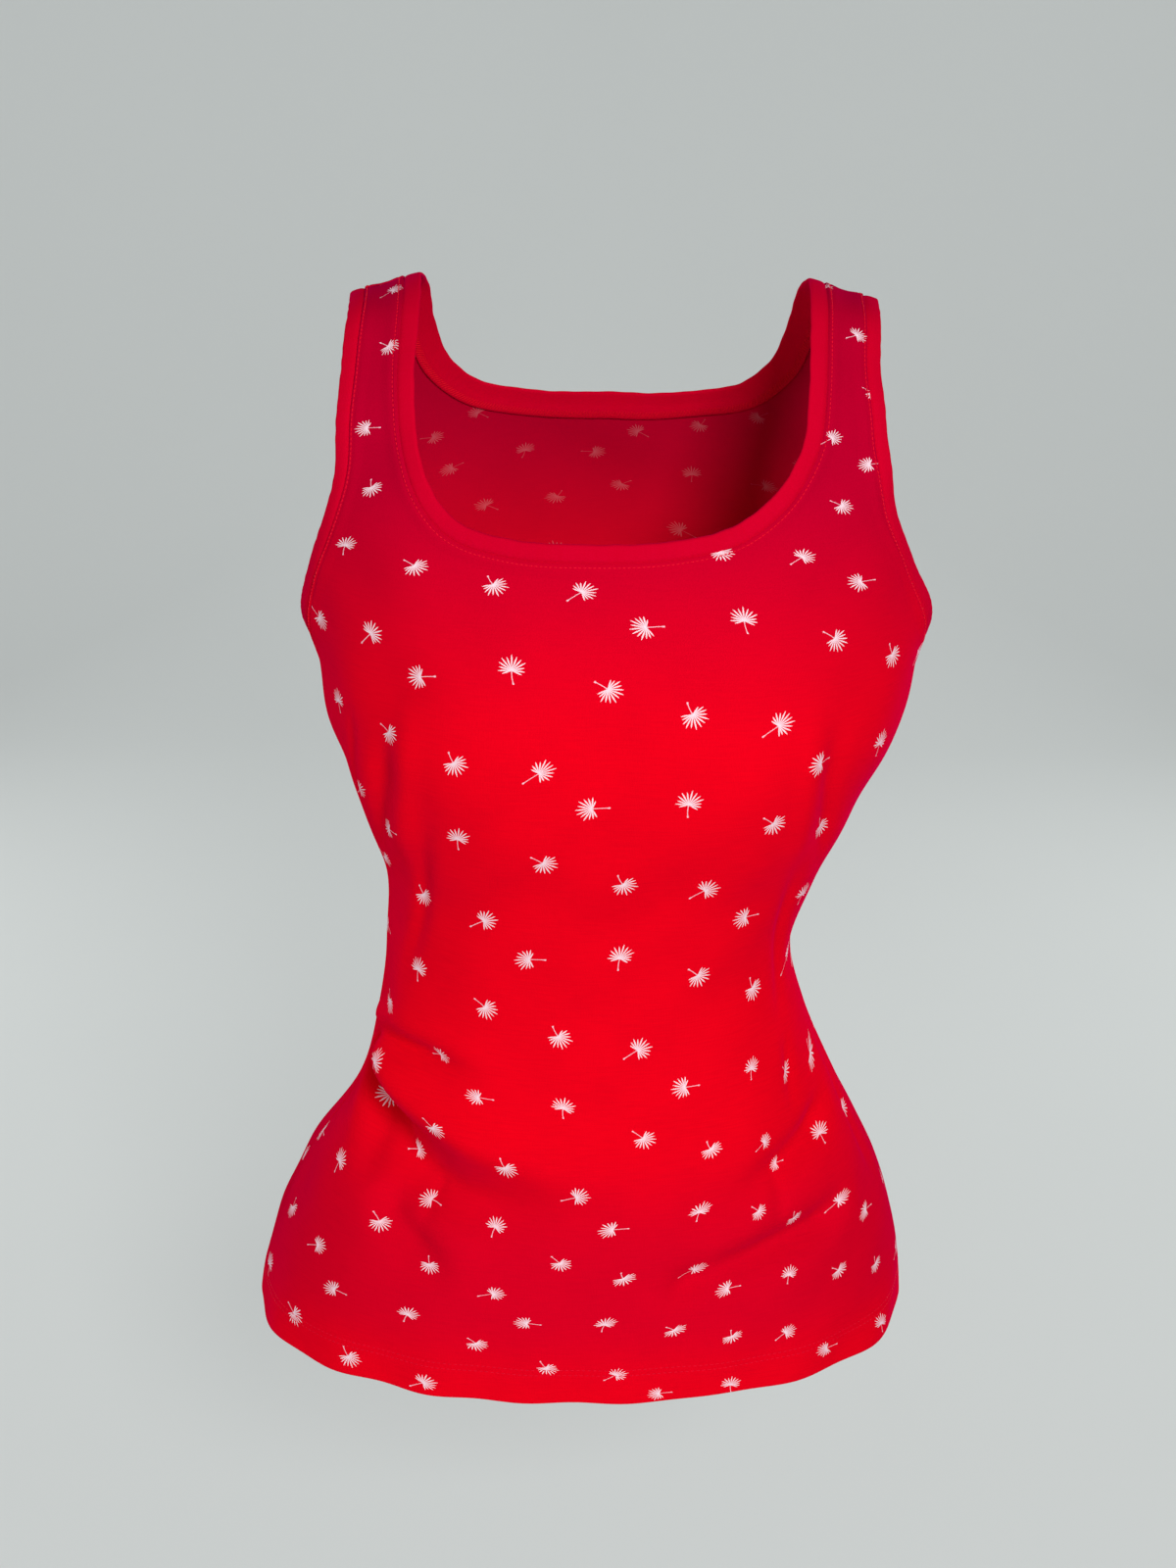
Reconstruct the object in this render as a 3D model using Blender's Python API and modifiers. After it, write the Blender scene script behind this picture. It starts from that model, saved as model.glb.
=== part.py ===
"""Sleeveless cotton jersey top with a scoop neck, standing open as it is worn.

A front and a back panel are joined at the sides and shoulders, and three folded bands
finish the neck and the two armholes. The origin is midway between the shoulder seams, where
the wearer's shoulders hold the top up. Metres, +Z up, the front faces -Y, and the wearer's
left is +X.
"""

import math

import bmesh
import bpy
import numpy as np

# Driving sizes
CLOTH = 0.0012  # one layer of jersey
BAND_CLOTH = 0.0020  # a band folded in two
HEM_CLOTH = 0.0020  # the hem turned up inside
HEM_TURN = 0.022
SEAM_GAP = 0.0005
NECK_BAND = 0.0088
ARM_BAND = 0.0078
SHOULDER_SLOPE = 0.29
SLOPE_STATION = 0.50  # where the shoulders' slope begins
NECK_HALF = 0.094  # from the middle to the band's inner edge, at the shoulder
BUST_EASE = 0.011  # how much further the front stands out over each side of the bust
BUST_TURN, BUST_TURN_REACH = 0.47, 0.33  # its middle and spread, as shares of the half width
BUST_HEIGHT, BUST_HEIGHT_REACH = -0.215, 0.052
ARMHOLE_STAND = 0.005  # how far the armhole's low edge stands away at the sides
STAND_STATION, STAND_REACH = 0.422, 0.024  # the level of that stand, and half its height
STAND_DEPTH = 0.016  # how far from the armhole it fades
NECK_LEAN = 0.047  # how far the neck hangs over to the right, as a share of the way round
LEAN_STATION, LEAN_REACH, LEAN_ROUND = 0.470, 0.040, 0.55  # where that lean is, and fades
HEM_TILT = 0.012  # the hem hangs lower on the right, for each metre across
TILT_STATION = 0.25  # where the hem's tilt has faded
ACROSS = 0.80  # the way round to the side seam, for each metre of half width plus depth
FOLD_FADE = 0.9  # the folds fade from this share of the way round to the side seam

# Grid of a half panel: columns under the neck, the strap and the armhole, and across a band
NECK_COLUMNS, STRAP_COLUMNS, ARM_COLUMNS, BAND_COLUMNS = 6, 4, 6, 2
BODY_ROWS, STRAP_ROWS = 24, 11
ROW_SPACING = ((0.0, 0.14, 0.62, 1.0), (0.0, 0.12, 0.48, 1.0))  # closer where the folds are

# The worn form, a row for each level from the hem up to the shoulder seam. "station" is the
# length up the cloth, and the depths run from the side seam to the centre front and back.
FORM_COLUMNS = ("station", "height", "middle", "half_width", "front", "back", "squareness")
FORM = (
    (0.000, -0.576, -0.012, 0.1855, 0.120, 0.118, 2.30),
    (0.080, -0.496, -0.007, 0.1634, 0.109, 0.116, 2.30),
    (0.130, -0.446, -0.003, 0.1350, 0.099, 0.103, 2.25),
    (0.180, -0.397, -0.007, 0.1180, 0.090, 0.085, 2.20),
    (0.225, -0.353, -0.009, 0.1100, 0.088, 0.078, 2.20),
    (0.270, -0.309, -0.003, 0.1157, 0.095, 0.082, 2.20),
    (0.315, -0.266, 0.000, 0.1330, 0.108, 0.092, 2.25),
    (0.360, -0.222, 0.003, 0.1485, 0.114, 0.099, 2.30),
    (0.405, -0.177, 0.004, 0.1545, 0.112, 0.103, 2.35),
    (0.450, -0.132, 0.001, 0.1565, 0.104, 0.100, 2.40),
    (0.490, -0.094, 0.000, 0.1570, 0.095, 0.090, 2.40),
    (0.530, -0.058, -0.001, 0.1610, 0.080, 0.074, 2.40),
    (0.565, -0.029, -0.001, 0.1640, 0.059, 0.053, 2.40),
    (0.595, -0.008, 0.000, 0.1660, 0.032, 0.029, 2.40),
    (0.620, 0.000, 0.000, 0.1690, 0.000, 0.000, 2.40),
)

# The cut edges. A row holds a share of the way round from the centre to the side seam, and a
# station.
FRONT_NECK = (
    (0.000, 0.464),
    (0.130, 0.466),
    (0.250, 0.474),
    (0.330, 0.490),
    (0.375, 0.512),
    (0.385, 0.545),
    (0.380, 0.580),
    (0.375, 0.620),
)
BACK_NECK = (
    (0.000, 0.505),
    (0.150, 0.507),
    (0.270, 0.515),
    (0.340, 0.532),
    (0.370, 0.560),
    (0.375, 0.590),
    (0.375, 0.620),
)
FRONT_ARMHOLE = (
    (1.000, 0.392),
    (0.930, 0.397),
    (0.860, 0.410),
    (0.780, 0.430),
    (0.700, 0.451),
    (0.610, 0.478),
    (0.550, 0.510),
    (0.510, 0.545),
    (0.490, 0.580),
    (0.480, 0.620),
)
BACK_ARMHOLE = (
    (1.000, 0.392),
    (0.930, 0.396),
    (0.860, 0.408),
    (0.780, 0.427),
    (0.700, 0.449),
    (0.620, 0.478),
    (0.560, 0.510),
    (0.515, 0.545),
    (0.490, 0.580),
    (0.480, 0.620),
)
PANEL_ROUND = 0.21  # from the centre to the side seam along the cloth, near enough
NECK_CORNER = 0.41  # share of the neck edge, from its centre, where the strap begins
ARM_CORNER = 0.42  # share of the armhole, from the underarm, level with that corner

# The largest folds. "across" is the distance round the cloth from the centre front or back,
# "bow" is how far a fold arches above a straight run, and a positive depth stands out.
FOLD_COLUMNS = ("across_a", "height_a", "across_b", "height_b", "bow", "width", "depth")
FRONT_FOLDS = (
    (-0.145, -0.408, 0.025, -0.463, 0.009, 0.012, 0.0055),
    (-0.140, -0.420, 0.025, -0.476, 0.007, 0.012, -0.0060),
    (0.150, -0.453, 0.000, -0.515, -0.004, 0.014, -0.0030),
)
BACK_FOLDS = (
    (-0.140, -0.396, 0.050, -0.420, -0.010, 0.014, 0.0045),
    (-0.135, -0.414, 0.060, -0.440, -0.010, 0.013, -0.0045),
    (0.140, -0.402, -0.020, -0.446, -0.008, 0.013, -0.0035),
)

MIRROR = np.array([-1.0, 1.0])  # swaps a place's side


def hermite(keys, values, at):
    """A smooth curve through a table's values, with the slope of the rows on either side."""
    slopes = np.gradient(values, keys, edge_order=2)
    row = np.clip(np.searchsorted(keys, at, side="right") - 1, 0, len(keys) - 2)
    span = keys[row + 1] - keys[row]
    share = (at - keys[row]) / span
    square, cube = share**2, share**3
    return (
        (2 * cube - 3 * square + 1) * values[row]
        + (cube - 2 * square + share) * span * slopes[row]
        + (3 * square - 2 * cube) * values[row + 1]
        + (cube - square) * span * slopes[row + 1]
    )


def smoothstep(low, high, value):
    share = np.clip((value - low) / (high - low), 0, 1)
    return share * share * (3 - 2 * share)


def bell(value, middle, reach):
    return np.exp(-(((value - middle) / reach) ** 2))


def form_at(station):
    """The form's columns at any stations, by name."""
    table = np.array(FORM)
    return {
        name: hermite(table[:, 0], table[:, column], station)
        for column, name in enumerate(FORM_COLUMNS)
        if column
    }


def plain_form(side, around, station):
    """Points on the form. Side is -1 on the front, 1 on the back, and around is -1 to 1."""
    level = form_at(station)
    if side < 0:
        near_neck = bell(station, LEAN_STATION, LEAN_REACH)
        around = around - NECK_LEAN * near_neck * np.clip(1 - (around / LEAN_ROUND) ** 2, 0, 1)
    angle = around * math.pi / 2
    power = 2 / level["squareness"]
    turn = np.sign(around) * np.abs(np.sin(angle)) ** power
    reach = level["front" if side < 0 else "back"] * np.abs(np.cos(angle)) ** power
    if side < 0:
        sides = bell(np.abs(turn), BUST_TURN, BUST_TURN_REACH)
        reach = reach + BUST_EASE * sides * bell(level["height"], BUST_HEIGHT, BUST_HEIGHT_REACH)
    x = level["middle"] + level["half_width"] * turn
    slope = SHOULDER_SLOPE * smoothstep(SLOPE_STATION, FORM[-1][0], station)
    z = level["height"] + slope * (NECK_HALF - np.abs(x - level["middle"]))
    z = z + HEM_TILT * x * (1 - smoothstep(0.0, TILT_STATION, station))
    y = side * (reach + SEAM_GAP / 2)
    return np.stack([x, y, z], axis=-1)


def form_normal(side, around, station):
    """Unit vectors that point out of the form, from its slopes both ways."""
    step = 1e-4
    inner = np.clip(around, -1 + step, 1 - step)
    low, high = np.maximum(station - step, 0), np.minimum(station + step, FORM[-1][0])
    along = plain_form(side, inner + step, station) - plain_form(side, inner - step, station)
    up = plain_form(side, inner, high) - plain_form(side, inner, low)
    normal = np.cross(along, up) * -side
    return normal / np.linalg.norm(normal, axis=-1, keepdims=True)


def fold_push(folds, across, height):
    """How far the folds push the cloth out: each is a bowed ridge or trough with faded ends."""
    push = np.zeros_like(across)
    for row in folds:
        fold = dict(zip(FOLD_COLUMNS, row))
        start = np.array([fold["across_a"], fold["height_a"]])
        run = np.array([fold["across_b"], fold["height_b"]]) - start
        length = np.hypot(*run)
        away = np.stack([across, height], axis=-1) - start
        share = np.clip(away @ run / length**2, 0, 1)
        offset = (away[..., 1] * run[0] - away[..., 0] * run[1]) / length
        offset = offset - fold["bow"] * np.sign(run[0]) * 4 * share * (1 - share)
        push += fold["depth"] * np.sin(math.pi * share) ** 0.8 * bell(offset, 0, fold["width"])
    return push


def edge_curve(rows, shares):
    """Places at shares of an edge's length, on a smooth curve through the edge's rows."""
    table = np.array(rows)
    steps = np.hypot(np.diff(table[:, 0]) * PANEL_ROUND, np.diff(table[:, 1]))
    keys = np.concatenate([[0], np.cumsum(steps)])
    at = shares * keys[-1]
    return np.stack([hermite(keys, table[:, 0], at), hermite(keys, table[:, 1], at)], axis=-1)


def armhole_distance(armhole, places):
    """The distance along the cloth from places to the armhole on their own side."""
    edge = edge_curve(armhole, np.linspace(0, 1, 60))
    across = (np.abs(places[..., :1]) - edge[:, 0]) * PANEL_ROUND
    return np.hypot(across, places[..., 1:] - edge[:, 1]).min(axis=-1)


def cloth_form(side, places):
    """Points of the cloth: the form with its largest folds, standing away at the armholes."""
    around, station = np.moveaxis(places, -1, 0)
    level = form_at(station)
    across = around * (level["half_width"] + level["front"]) * ACROSS
    push = fold_push(FRONT_FOLDS if side < 0 else BACK_FOLDS, across, level["height"])
    push = push * (1 - smoothstep(FOLD_FADE, 1.0, np.abs(around)))
    points = plain_form(side, around, station)
    points = points + form_normal(side, around, station) * push[..., None]
    away = armhole_distance(FRONT_ARMHOLE if side < 0 else BACK_ARMHOLE, places)
    stand = bell(station, STAND_STATION, STAND_REACH) * np.exp(-away / STAND_DEPTH)
    points[..., 0] += ARMHOLE_STAND * stand * np.sign(around)
    return points


def patch(bottom, top, left, right, rows):
    """A grid blended between four edges, with a row at each share of the way up."""
    across = np.linspace(0, 1, len(bottom))[None, :, None]
    up = rows[:, None, None]
    blend = (1 - up) * bottom + up * top
    blend = blend + (1 - across) * left[:, None] + across * right[:, None]
    corners = (1 - up) * ((1 - across) * bottom[0] + across * bottom[-1])
    return blend - corners - up * ((1 - across) * top[0] + across * top[-1])


def half_panel(neck, armhole):
    """Grids of places over half a panel: its body, then its strap."""
    columns = NECK_COLUMNS + STRAP_COLUMNS + ARM_COLUMNS
    neck_low = edge_curve(neck, np.linspace(0, NECK_CORNER, NECK_COLUMNS + 1))
    neck_high = edge_curve(neck, np.linspace(NECK_CORNER, 1, STRAP_ROWS + 1))
    arm_low = edge_curve(armhole, np.linspace(ARM_CORNER, 0, ARM_COLUMNS + 1))
    arm_high = edge_curve(armhole, np.linspace(ARM_CORNER, 1, STRAP_ROWS + 1))
    bridge = np.linspace(neck_low[-1], arm_low[0], STRAP_COLUMNS + 1)
    shoulder = np.linspace(neck_high[-1], arm_high[-1], STRAP_COLUMNS + 1)
    up = np.interp(np.linspace(0, 1, BODY_ROWS + 1), *ROW_SPACING)[:, None]
    seam = np.array([1.0, 0.0]) * (1 - up) + arm_low[-1] * up
    hem = np.linspace([0.0, 0.0], [1.0, 0.0], columns + 1)
    top = np.concatenate([neck_low, bridge[1:], arm_low[1:]])
    body = patch(hem, top, neck_low[0] * up, seam, up[:, 0])
    return body, patch(bridge, shoulder, neck_high, arm_high, np.linspace(0, 1, STRAP_ROWS + 1))


def panel_grids(neck, armhole):
    """The grids of a whole panel: its body from side to side, then the two straps."""
    body, strap = half_panel(neck, armhole)
    whole = np.concatenate([body[:, :0:-1] * MIRROR, body], axis=1)
    return whole, strap, strap[:, ::-1] * MIRROR


def edge_places(opening, neck, armhole):
    """Places along a panel's neck from right to left, or up one armhole, and those just inside."""
    body, strap = half_panel(neck, armhole)
    if opening == "neck":
        edge = np.concatenate([body[-1, : NECK_COLUMNS + 1], strap[1:, 0]])
        inside = np.concatenate([body[-2, : NECK_COLUMNS + 1], strap[1:, 1]])
        return [np.concatenate([half[:0:-1] * MIRROR, half]) for half in (edge, inside)]
    outer = NECK_COLUMNS + STRAP_COLUMNS - 1
    edge = np.concatenate([body[-1, :outer:-1], strap[1:, -1]])
    inside = np.concatenate([body[-2, :outer:-1], strap[1:, -2]])
    return [half if opening == "left armhole" else half * MIRROR for half in (edge, inside)]


def opening_rings(opening):
    """Points round an opening and just inside it, with the two that meet at a seam made one."""
    front = edge_places(opening, FRONT_NECK, FRONT_ARMHOLE)
    back = edge_places(opening, BACK_NECK, BACK_ARMHOLE)
    rings = []
    for front_places, back_places in zip(front, back):
        a, b = cloth_form(-1, front_places), cloth_form(1, back_places[::-1])
        rings.append(np.concatenate([(a[:1] + b[-1:]) / 2, a[1:-1], (a[-1:] + b[:1]) / 2, b[1:-1]]))
    return rings


def band_grid(opening, width):
    """A closed strip round an opening, which carries on from the panels' edge."""
    edge, inside = opening_rings(opening)
    along = np.roll(edge, -1, axis=0) - np.roll(edge, 1, axis=0)
    along /= np.linalg.norm(along, axis=1, keepdims=True)
    onward = edge - inside
    onward -= along * np.sum(onward * along, axis=1, keepdims=True)
    onward /= np.linalg.norm(onward, axis=1, keepdims=True)
    reach = SEAM_GAP + np.linspace(0, width, BAND_COLUMNS + 1)
    return edge[:, None] + onward[:, None] * reach[:, None]


def grid_faces(index):
    """The quads between the rows and columns of a grid of vertex numbers."""
    corners = (index[:-1, :-1], index[:-1, 1:], index[1:, 1:], index[1:, :-1])
    return np.stack([corner.ravel() for corner in corners], axis=-1)


def new_sheet(name, points, faces, material):
    """An open sheet as an object, with the borders that its grids share welded."""
    mesh = bpy.data.meshes.new(name)
    mesh.from_pydata(points.tolist(), [], faces.tolist())
    work = bmesh.new()
    work.from_mesh(mesh)
    bmesh.ops.remove_doubles(work, verts=work.verts, dist=1e-6)
    bmesh.ops.recalc_face_normals(work, faces=work.faces)
    work.to_mesh(mesh)
    work.free()
    mesh.materials.append(material)
    mesh.shade_smooth()
    sheet = bpy.data.objects.new(name, mesh)
    collection.objects.link(sheet)
    return sheet


def thicken(sheet, thickness):
    """Gives a sheet its wall, half on each side."""
    wall = sheet.modifiers.new("Wall", "SOLIDIFY")
    wall.thickness = thickness
    wall.offset = 0.0
    return wall


def panel(name, side, neck, armhole, material):
    """A panel of jersey, with twice the cloth at its turned-up hem."""
    points, faces, count = [], [], 0
    for grid in panel_grids(neck, armhole):
        index = np.arange(grid[..., 0].size).reshape(grid.shape[:2]) + count
        points.append(cloth_form(side, grid).reshape(-1, 3))
        faces.append(grid_faces(index))
        count += index.size
    sheet = new_sheet(name, np.concatenate(points), np.concatenate(faces), material)
    hem = sheet.vertex_groups.new(name="hem")
    top = FORM[0][1] + HEM_TURN
    hem.add([v.index for v in sheet.data.vertices if v.co.z < top], 1.0, "REPLACE")
    wall = thicken(sheet, HEM_CLOTH)
    wall.vertex_group = hem.name
    wall.thickness_vertex_group = CLOTH / HEM_CLOTH
    return sheet


def band(name, opening, width, material):
    """A folded band of plain jersey round one opening."""
    grid = band_grid(opening, width)
    index = np.arange(grid[..., 0].size).reshape(grid.shape[:2])
    faces = grid_faces(np.concatenate([index, index[:1]]))
    sheet = new_sheet(name, grid.reshape(-1, 3), faces, material)
    thicken(sheet, BAND_CLOTH)
    return sheet


def cloth_material(name, colour, roughness):
    material = bpy.data.materials.new(name)
    material.use_nodes = True
    shader = material.node_tree.nodes["Principled BSDF"]
    shader.inputs["Base Color"].default_value = (*colour, 1)
    shader.inputs["Roughness"].default_value = roughness
    shader.inputs["Metallic"].default_value = 0.0
    return material


for old in list(bpy.data.objects):
    bpy.data.objects.remove(old)
collection = bpy.data.collections.new("jersey_top")
bpy.context.scene.collection.children.link(collection)

RED = (0.78, 0.005, 0.012)
panel("front_panel", -1, FRONT_NECK, FRONT_ARMHOLE, cloth_material("front jersey", RED, 0.85))
panel("back_panel", 1, BACK_NECK, BACK_ARMHOLE, cloth_material("back jersey", RED, 0.85))
band("neck_band", "neck", NECK_BAND, cloth_material("neck band jersey", RED, 0.8))
for hand in ("right", "left"):
    finish = cloth_material(f"{hand} armhole band jersey", RED, 0.8)
    band(f"{hand}_armhole_band", f"{hand} armhole", ARM_BAND, finish)
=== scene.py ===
"""Looks of a sleeveless jersey top with a scoop neck and a scattered seed-head print.

The two panels, the three folded bands, their seams and their stitching are worked out as
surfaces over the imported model. Metres, +Z up, the front faces -Y, and the wearer's left is +X.
"""

import logging
import math
from collections.abc import Callable
from dataclasses import dataclass, field
from enum import Enum

import bpy
import numpy as np
from mathutils import Matrix, Vector
from numpy.polynomial.polynomial import polyval


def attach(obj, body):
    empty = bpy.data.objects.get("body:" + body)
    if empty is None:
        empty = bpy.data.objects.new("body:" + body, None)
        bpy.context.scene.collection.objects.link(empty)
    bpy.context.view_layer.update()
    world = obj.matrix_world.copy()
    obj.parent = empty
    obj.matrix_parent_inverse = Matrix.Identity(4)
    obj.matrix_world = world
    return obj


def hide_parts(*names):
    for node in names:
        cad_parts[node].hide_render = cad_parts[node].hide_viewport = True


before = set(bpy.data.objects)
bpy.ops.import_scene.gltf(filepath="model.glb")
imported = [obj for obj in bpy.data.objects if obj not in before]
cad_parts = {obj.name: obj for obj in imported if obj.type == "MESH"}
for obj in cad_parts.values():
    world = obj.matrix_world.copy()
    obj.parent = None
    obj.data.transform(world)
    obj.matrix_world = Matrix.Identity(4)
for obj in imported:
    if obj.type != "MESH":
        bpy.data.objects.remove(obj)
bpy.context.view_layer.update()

log = logging.getLogger("jersey_top")
Array = np.ndarray
Colour = tuple[float, float, float]
Rows = tuple[tuple[float, ...], ...]
Surface = Callable[[Array, Array], Array]  # points at ways round and stations
MIRROR = np.array([-1.0, 1.0])  # swaps a place's side


class Side(Enum):
    """The two halves of the body, by the sign of their depth."""

    FRONT = -1
    BACK = 1


class Opening(Enum):
    """The three openings that a band finishes."""

    NECK = "neck"
    LEFT_ARMHOLE = "left_armhole"
    RIGHT_ARMHOLE = "right_armhole"


class Held(Enum):
    """How a cloth is held."""

    HUNG = "hung"
    FOLDED = "folded"


# The worn form, a row for each level from the hem up to the shoulder seam. "station" is the
# length up the cloth, and the depths run from the side seam to the centre front and back.
FORM_COLUMNS = ("station", "height", "middle", "half_width", "front", "back", "squareness")
FORM: Rows = (
    (0.000, -0.576, -0.012, 0.1855, 0.120, 0.118, 2.30),
    (0.080, -0.496, -0.007, 0.1634, 0.109, 0.116, 2.30),
    (0.130, -0.446, -0.003, 0.1350, 0.099, 0.103, 2.25),
    (0.180, -0.397, -0.007, 0.1180, 0.090, 0.085, 2.20),
    (0.225, -0.353, -0.009, 0.1100, 0.088, 0.078, 2.20),
    (0.270, -0.309, -0.003, 0.1157, 0.095, 0.082, 2.20),
    (0.315, -0.266, 0.000, 0.1330, 0.108, 0.092, 2.25),
    (0.360, -0.222, 0.003, 0.1485, 0.114, 0.099, 2.30),
    (0.405, -0.177, 0.004, 0.1545, 0.112, 0.103, 2.35),
    (0.450, -0.132, 0.001, 0.1565, 0.104, 0.100, 2.40),
    (0.490, -0.094, 0.000, 0.1570, 0.095, 0.090, 2.40),
    (0.530, -0.058, -0.001, 0.1610, 0.080, 0.074, 2.40),
    (0.565, -0.029, -0.001, 0.1640, 0.059, 0.053, 2.40),
    (0.595, -0.008, 0.000, 0.1660, 0.032, 0.029, 2.40),
    (0.620, 0.000, 0.000, 0.1690, 0.000, 0.000, 2.40),
)

# The cut edges. A row holds a share of the way round from the centre to the side seam, and a
# station.
FRONT_NECK: Rows = (
    (0.000, 0.464), (0.130, 0.466), (0.250, 0.474), (0.330, 0.490), (0.375, 0.512),
    (0.385, 0.545), (0.380, 0.580), (0.375, 0.620),
)
BACK_NECK: Rows = (
    (0.000, 0.505), (0.150, 0.507), (0.270, 0.515), (0.340, 0.532), (0.370, 0.560),
    (0.375, 0.590), (0.375, 0.620),
)
FRONT_ARMHOLE: Rows = (
    (1.000, 0.392), (0.930, 0.397), (0.860, 0.410), (0.780, 0.430), (0.700, 0.451),
    (0.610, 0.478), (0.550, 0.510), (0.510, 0.545), (0.490, 0.580), (0.480, 0.620),
)
BACK_ARMHOLE: Rows = (
    (1.000, 0.392), (0.930, 0.396), (0.860, 0.408), (0.780, 0.427), (0.700, 0.449),
    (0.620, 0.478), (0.560, 0.510), (0.515, 0.545), (0.490, 0.580), (0.480, 0.620),
)
TOP_STATION = FORM[-1][0]
HEM_TURN = 0.022
HEM_ROWS = (0.0160, 0.0190)  # the stations of the hem's two rows of stitches
TOPSTITCH_GAP = 0.0021  # from a cut edge to the row of stitches beside its band


def hermite(keys: Array, values: Array, at: Array) -> Array:
    """A smooth curve through a table's values, with the slope of the rows on either side.

    Args:
        keys: The table's rising keys.
        values: A value for each key.
        at: Where the curve is read.

    Returns:
        Two values and two slopes blended by the four cubic Hermite weights.
    """
    slopes = np.gradient(values, keys, edge_order=2)
    row = np.clip(np.searchsorted(keys, at, side="right") - 1, 0, len(keys) - 2)
    span = keys[row + 1] - keys[row]
    share = (at - keys[row]) / span
    square, cube = share**2, share**3
    return (
        (2 * cube - 3 * square + 1) * values[row]
        + (cube - 2 * square + share) * span * slopes[row]
        + (3 * square - 2 * cube) * values[row + 1]
        + (cube - square) * span * slopes[row + 1]
    )


def smoothstep(low: float, high: float, value: Array) -> Array:
    """An S-shaped rise from 0 at low to 1 at high: three squares less two cubes."""
    share = np.clip((value - low) / (high - low), 0, 1)
    return share * share * (3 - 2 * share)


def bell(value: Array, middle: float, reach: float) -> Array:
    """A rounded bump of height 1: e to the minus square of the distance over the reach."""
    return np.exp(-(((value - middle) / reach) ** 2))


def unit(vectors: Array) -> Array:
    """The same directions with length 1."""
    return vectors / np.linalg.norm(vectors, axis=-1, keepdims=True)


def shares_of(*runs: tuple[int, float]) -> Array:
    """Rising shares from 0 to 1 whose steps follow runs of (count, size)."""
    steps = np.concatenate([np.full(count, size) for count, size in runs])
    return np.concatenate([[0.0], np.cumsum(steps)]) / steps.sum()


def lengths_along(run: Array) -> Array:
    """The length from a run's start to each of its places, over straight pieces."""
    return np.concatenate([[0], np.cumsum(np.linalg.norm(np.diff(run, axis=0), axis=-1))])


def read_along(at: Array, reach: Array, values: Array) -> Array:
    """Values at lengths along a run, on straight lines between those at its places."""
    return np.stack([np.interp(at, reach, column) for column in values.T], axis=-1)


def come_round(run: Array) -> Array:
    """A run with its first place again at its end."""
    return np.concatenate([run, run[:1]])


def there_and_back(front: tuple[Array, Array], back: tuple[Array, Array]) -> list[Array]:
    """Runs over the front, each joined by the same run over the back, reversed."""
    return [np.concatenate([ahead, behind[::-1]]) for ahead, behind in zip(front, back)]


def square_to(vectors: Array, *ways: Array) -> Array:
    """Directions with their share along each unit way taken off in turn, at length 1.

    Args:
        vectors: The directions.
        ways: Unit ways, square to each other.

    Returns:
        Unit directions, square to every way.
    """
    for way in ways:
        vectors = vectors - way * np.sum(vectors * way, axis=-1, keepdims=True)
    return unit(vectors)


def smooth_run(rows: Rows, shares: Array, stretch: float = 1.0) -> Array:
    """Places at shares of a run's length, on a smooth curve through its rows.

    Args:
        rows: Places of two numbers each.
        shares: Shares of the length, from 0 to 1.
        stretch: What the first number is multiplied by to compare with the second.

    Returns:
        Each column's Hermite curve, keyed by the length along the straight runs between rows.
    """
    table = np.array(rows)
    keys = lengths_along(table * [stretch, 1.0])
    return np.stack([hermite(keys, column, shares * keys[-1]) for column in table.T], axis=-1)


def nearest_on_run(places: Array, run: Array) -> tuple[Array, Array]:
    """How far places lie from a run of short straight pieces.

    Each piece's nearest place is the foot of the perpendicular, kept between the piece's ends,
    and the piece with the least distance wins.

    Args:
        places: Flat places, two numbers each.
        run: The run's corners, in order.

    Returns:
        The distance, positive on the left of the run, and the share of the run's length there.
    """
    offset, share = np.full(places.shape[:-1], 1e3), np.zeros(places.shape[:-1])
    begun = lengths_along(run)
    for start, end, length, before in zip(run[:-1], run[1:], np.diff(begun), begun):
        line = (end - start) / length
        away = places - start
        along = np.clip(away @ line, 0, length)
        gap = away - along[..., None] * line
        far = np.hypot(gap[..., 0], gap[..., 1])
        nearer = far < np.abs(offset)
        left = np.where(line[0] * gap[..., 1] < line[1] * gap[..., 0], -1, 1)
        offset = np.where(nearer, left * far, offset)
        share = np.where(nearer, (before + along) / begun[-1], share)
    return offset, share


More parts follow.
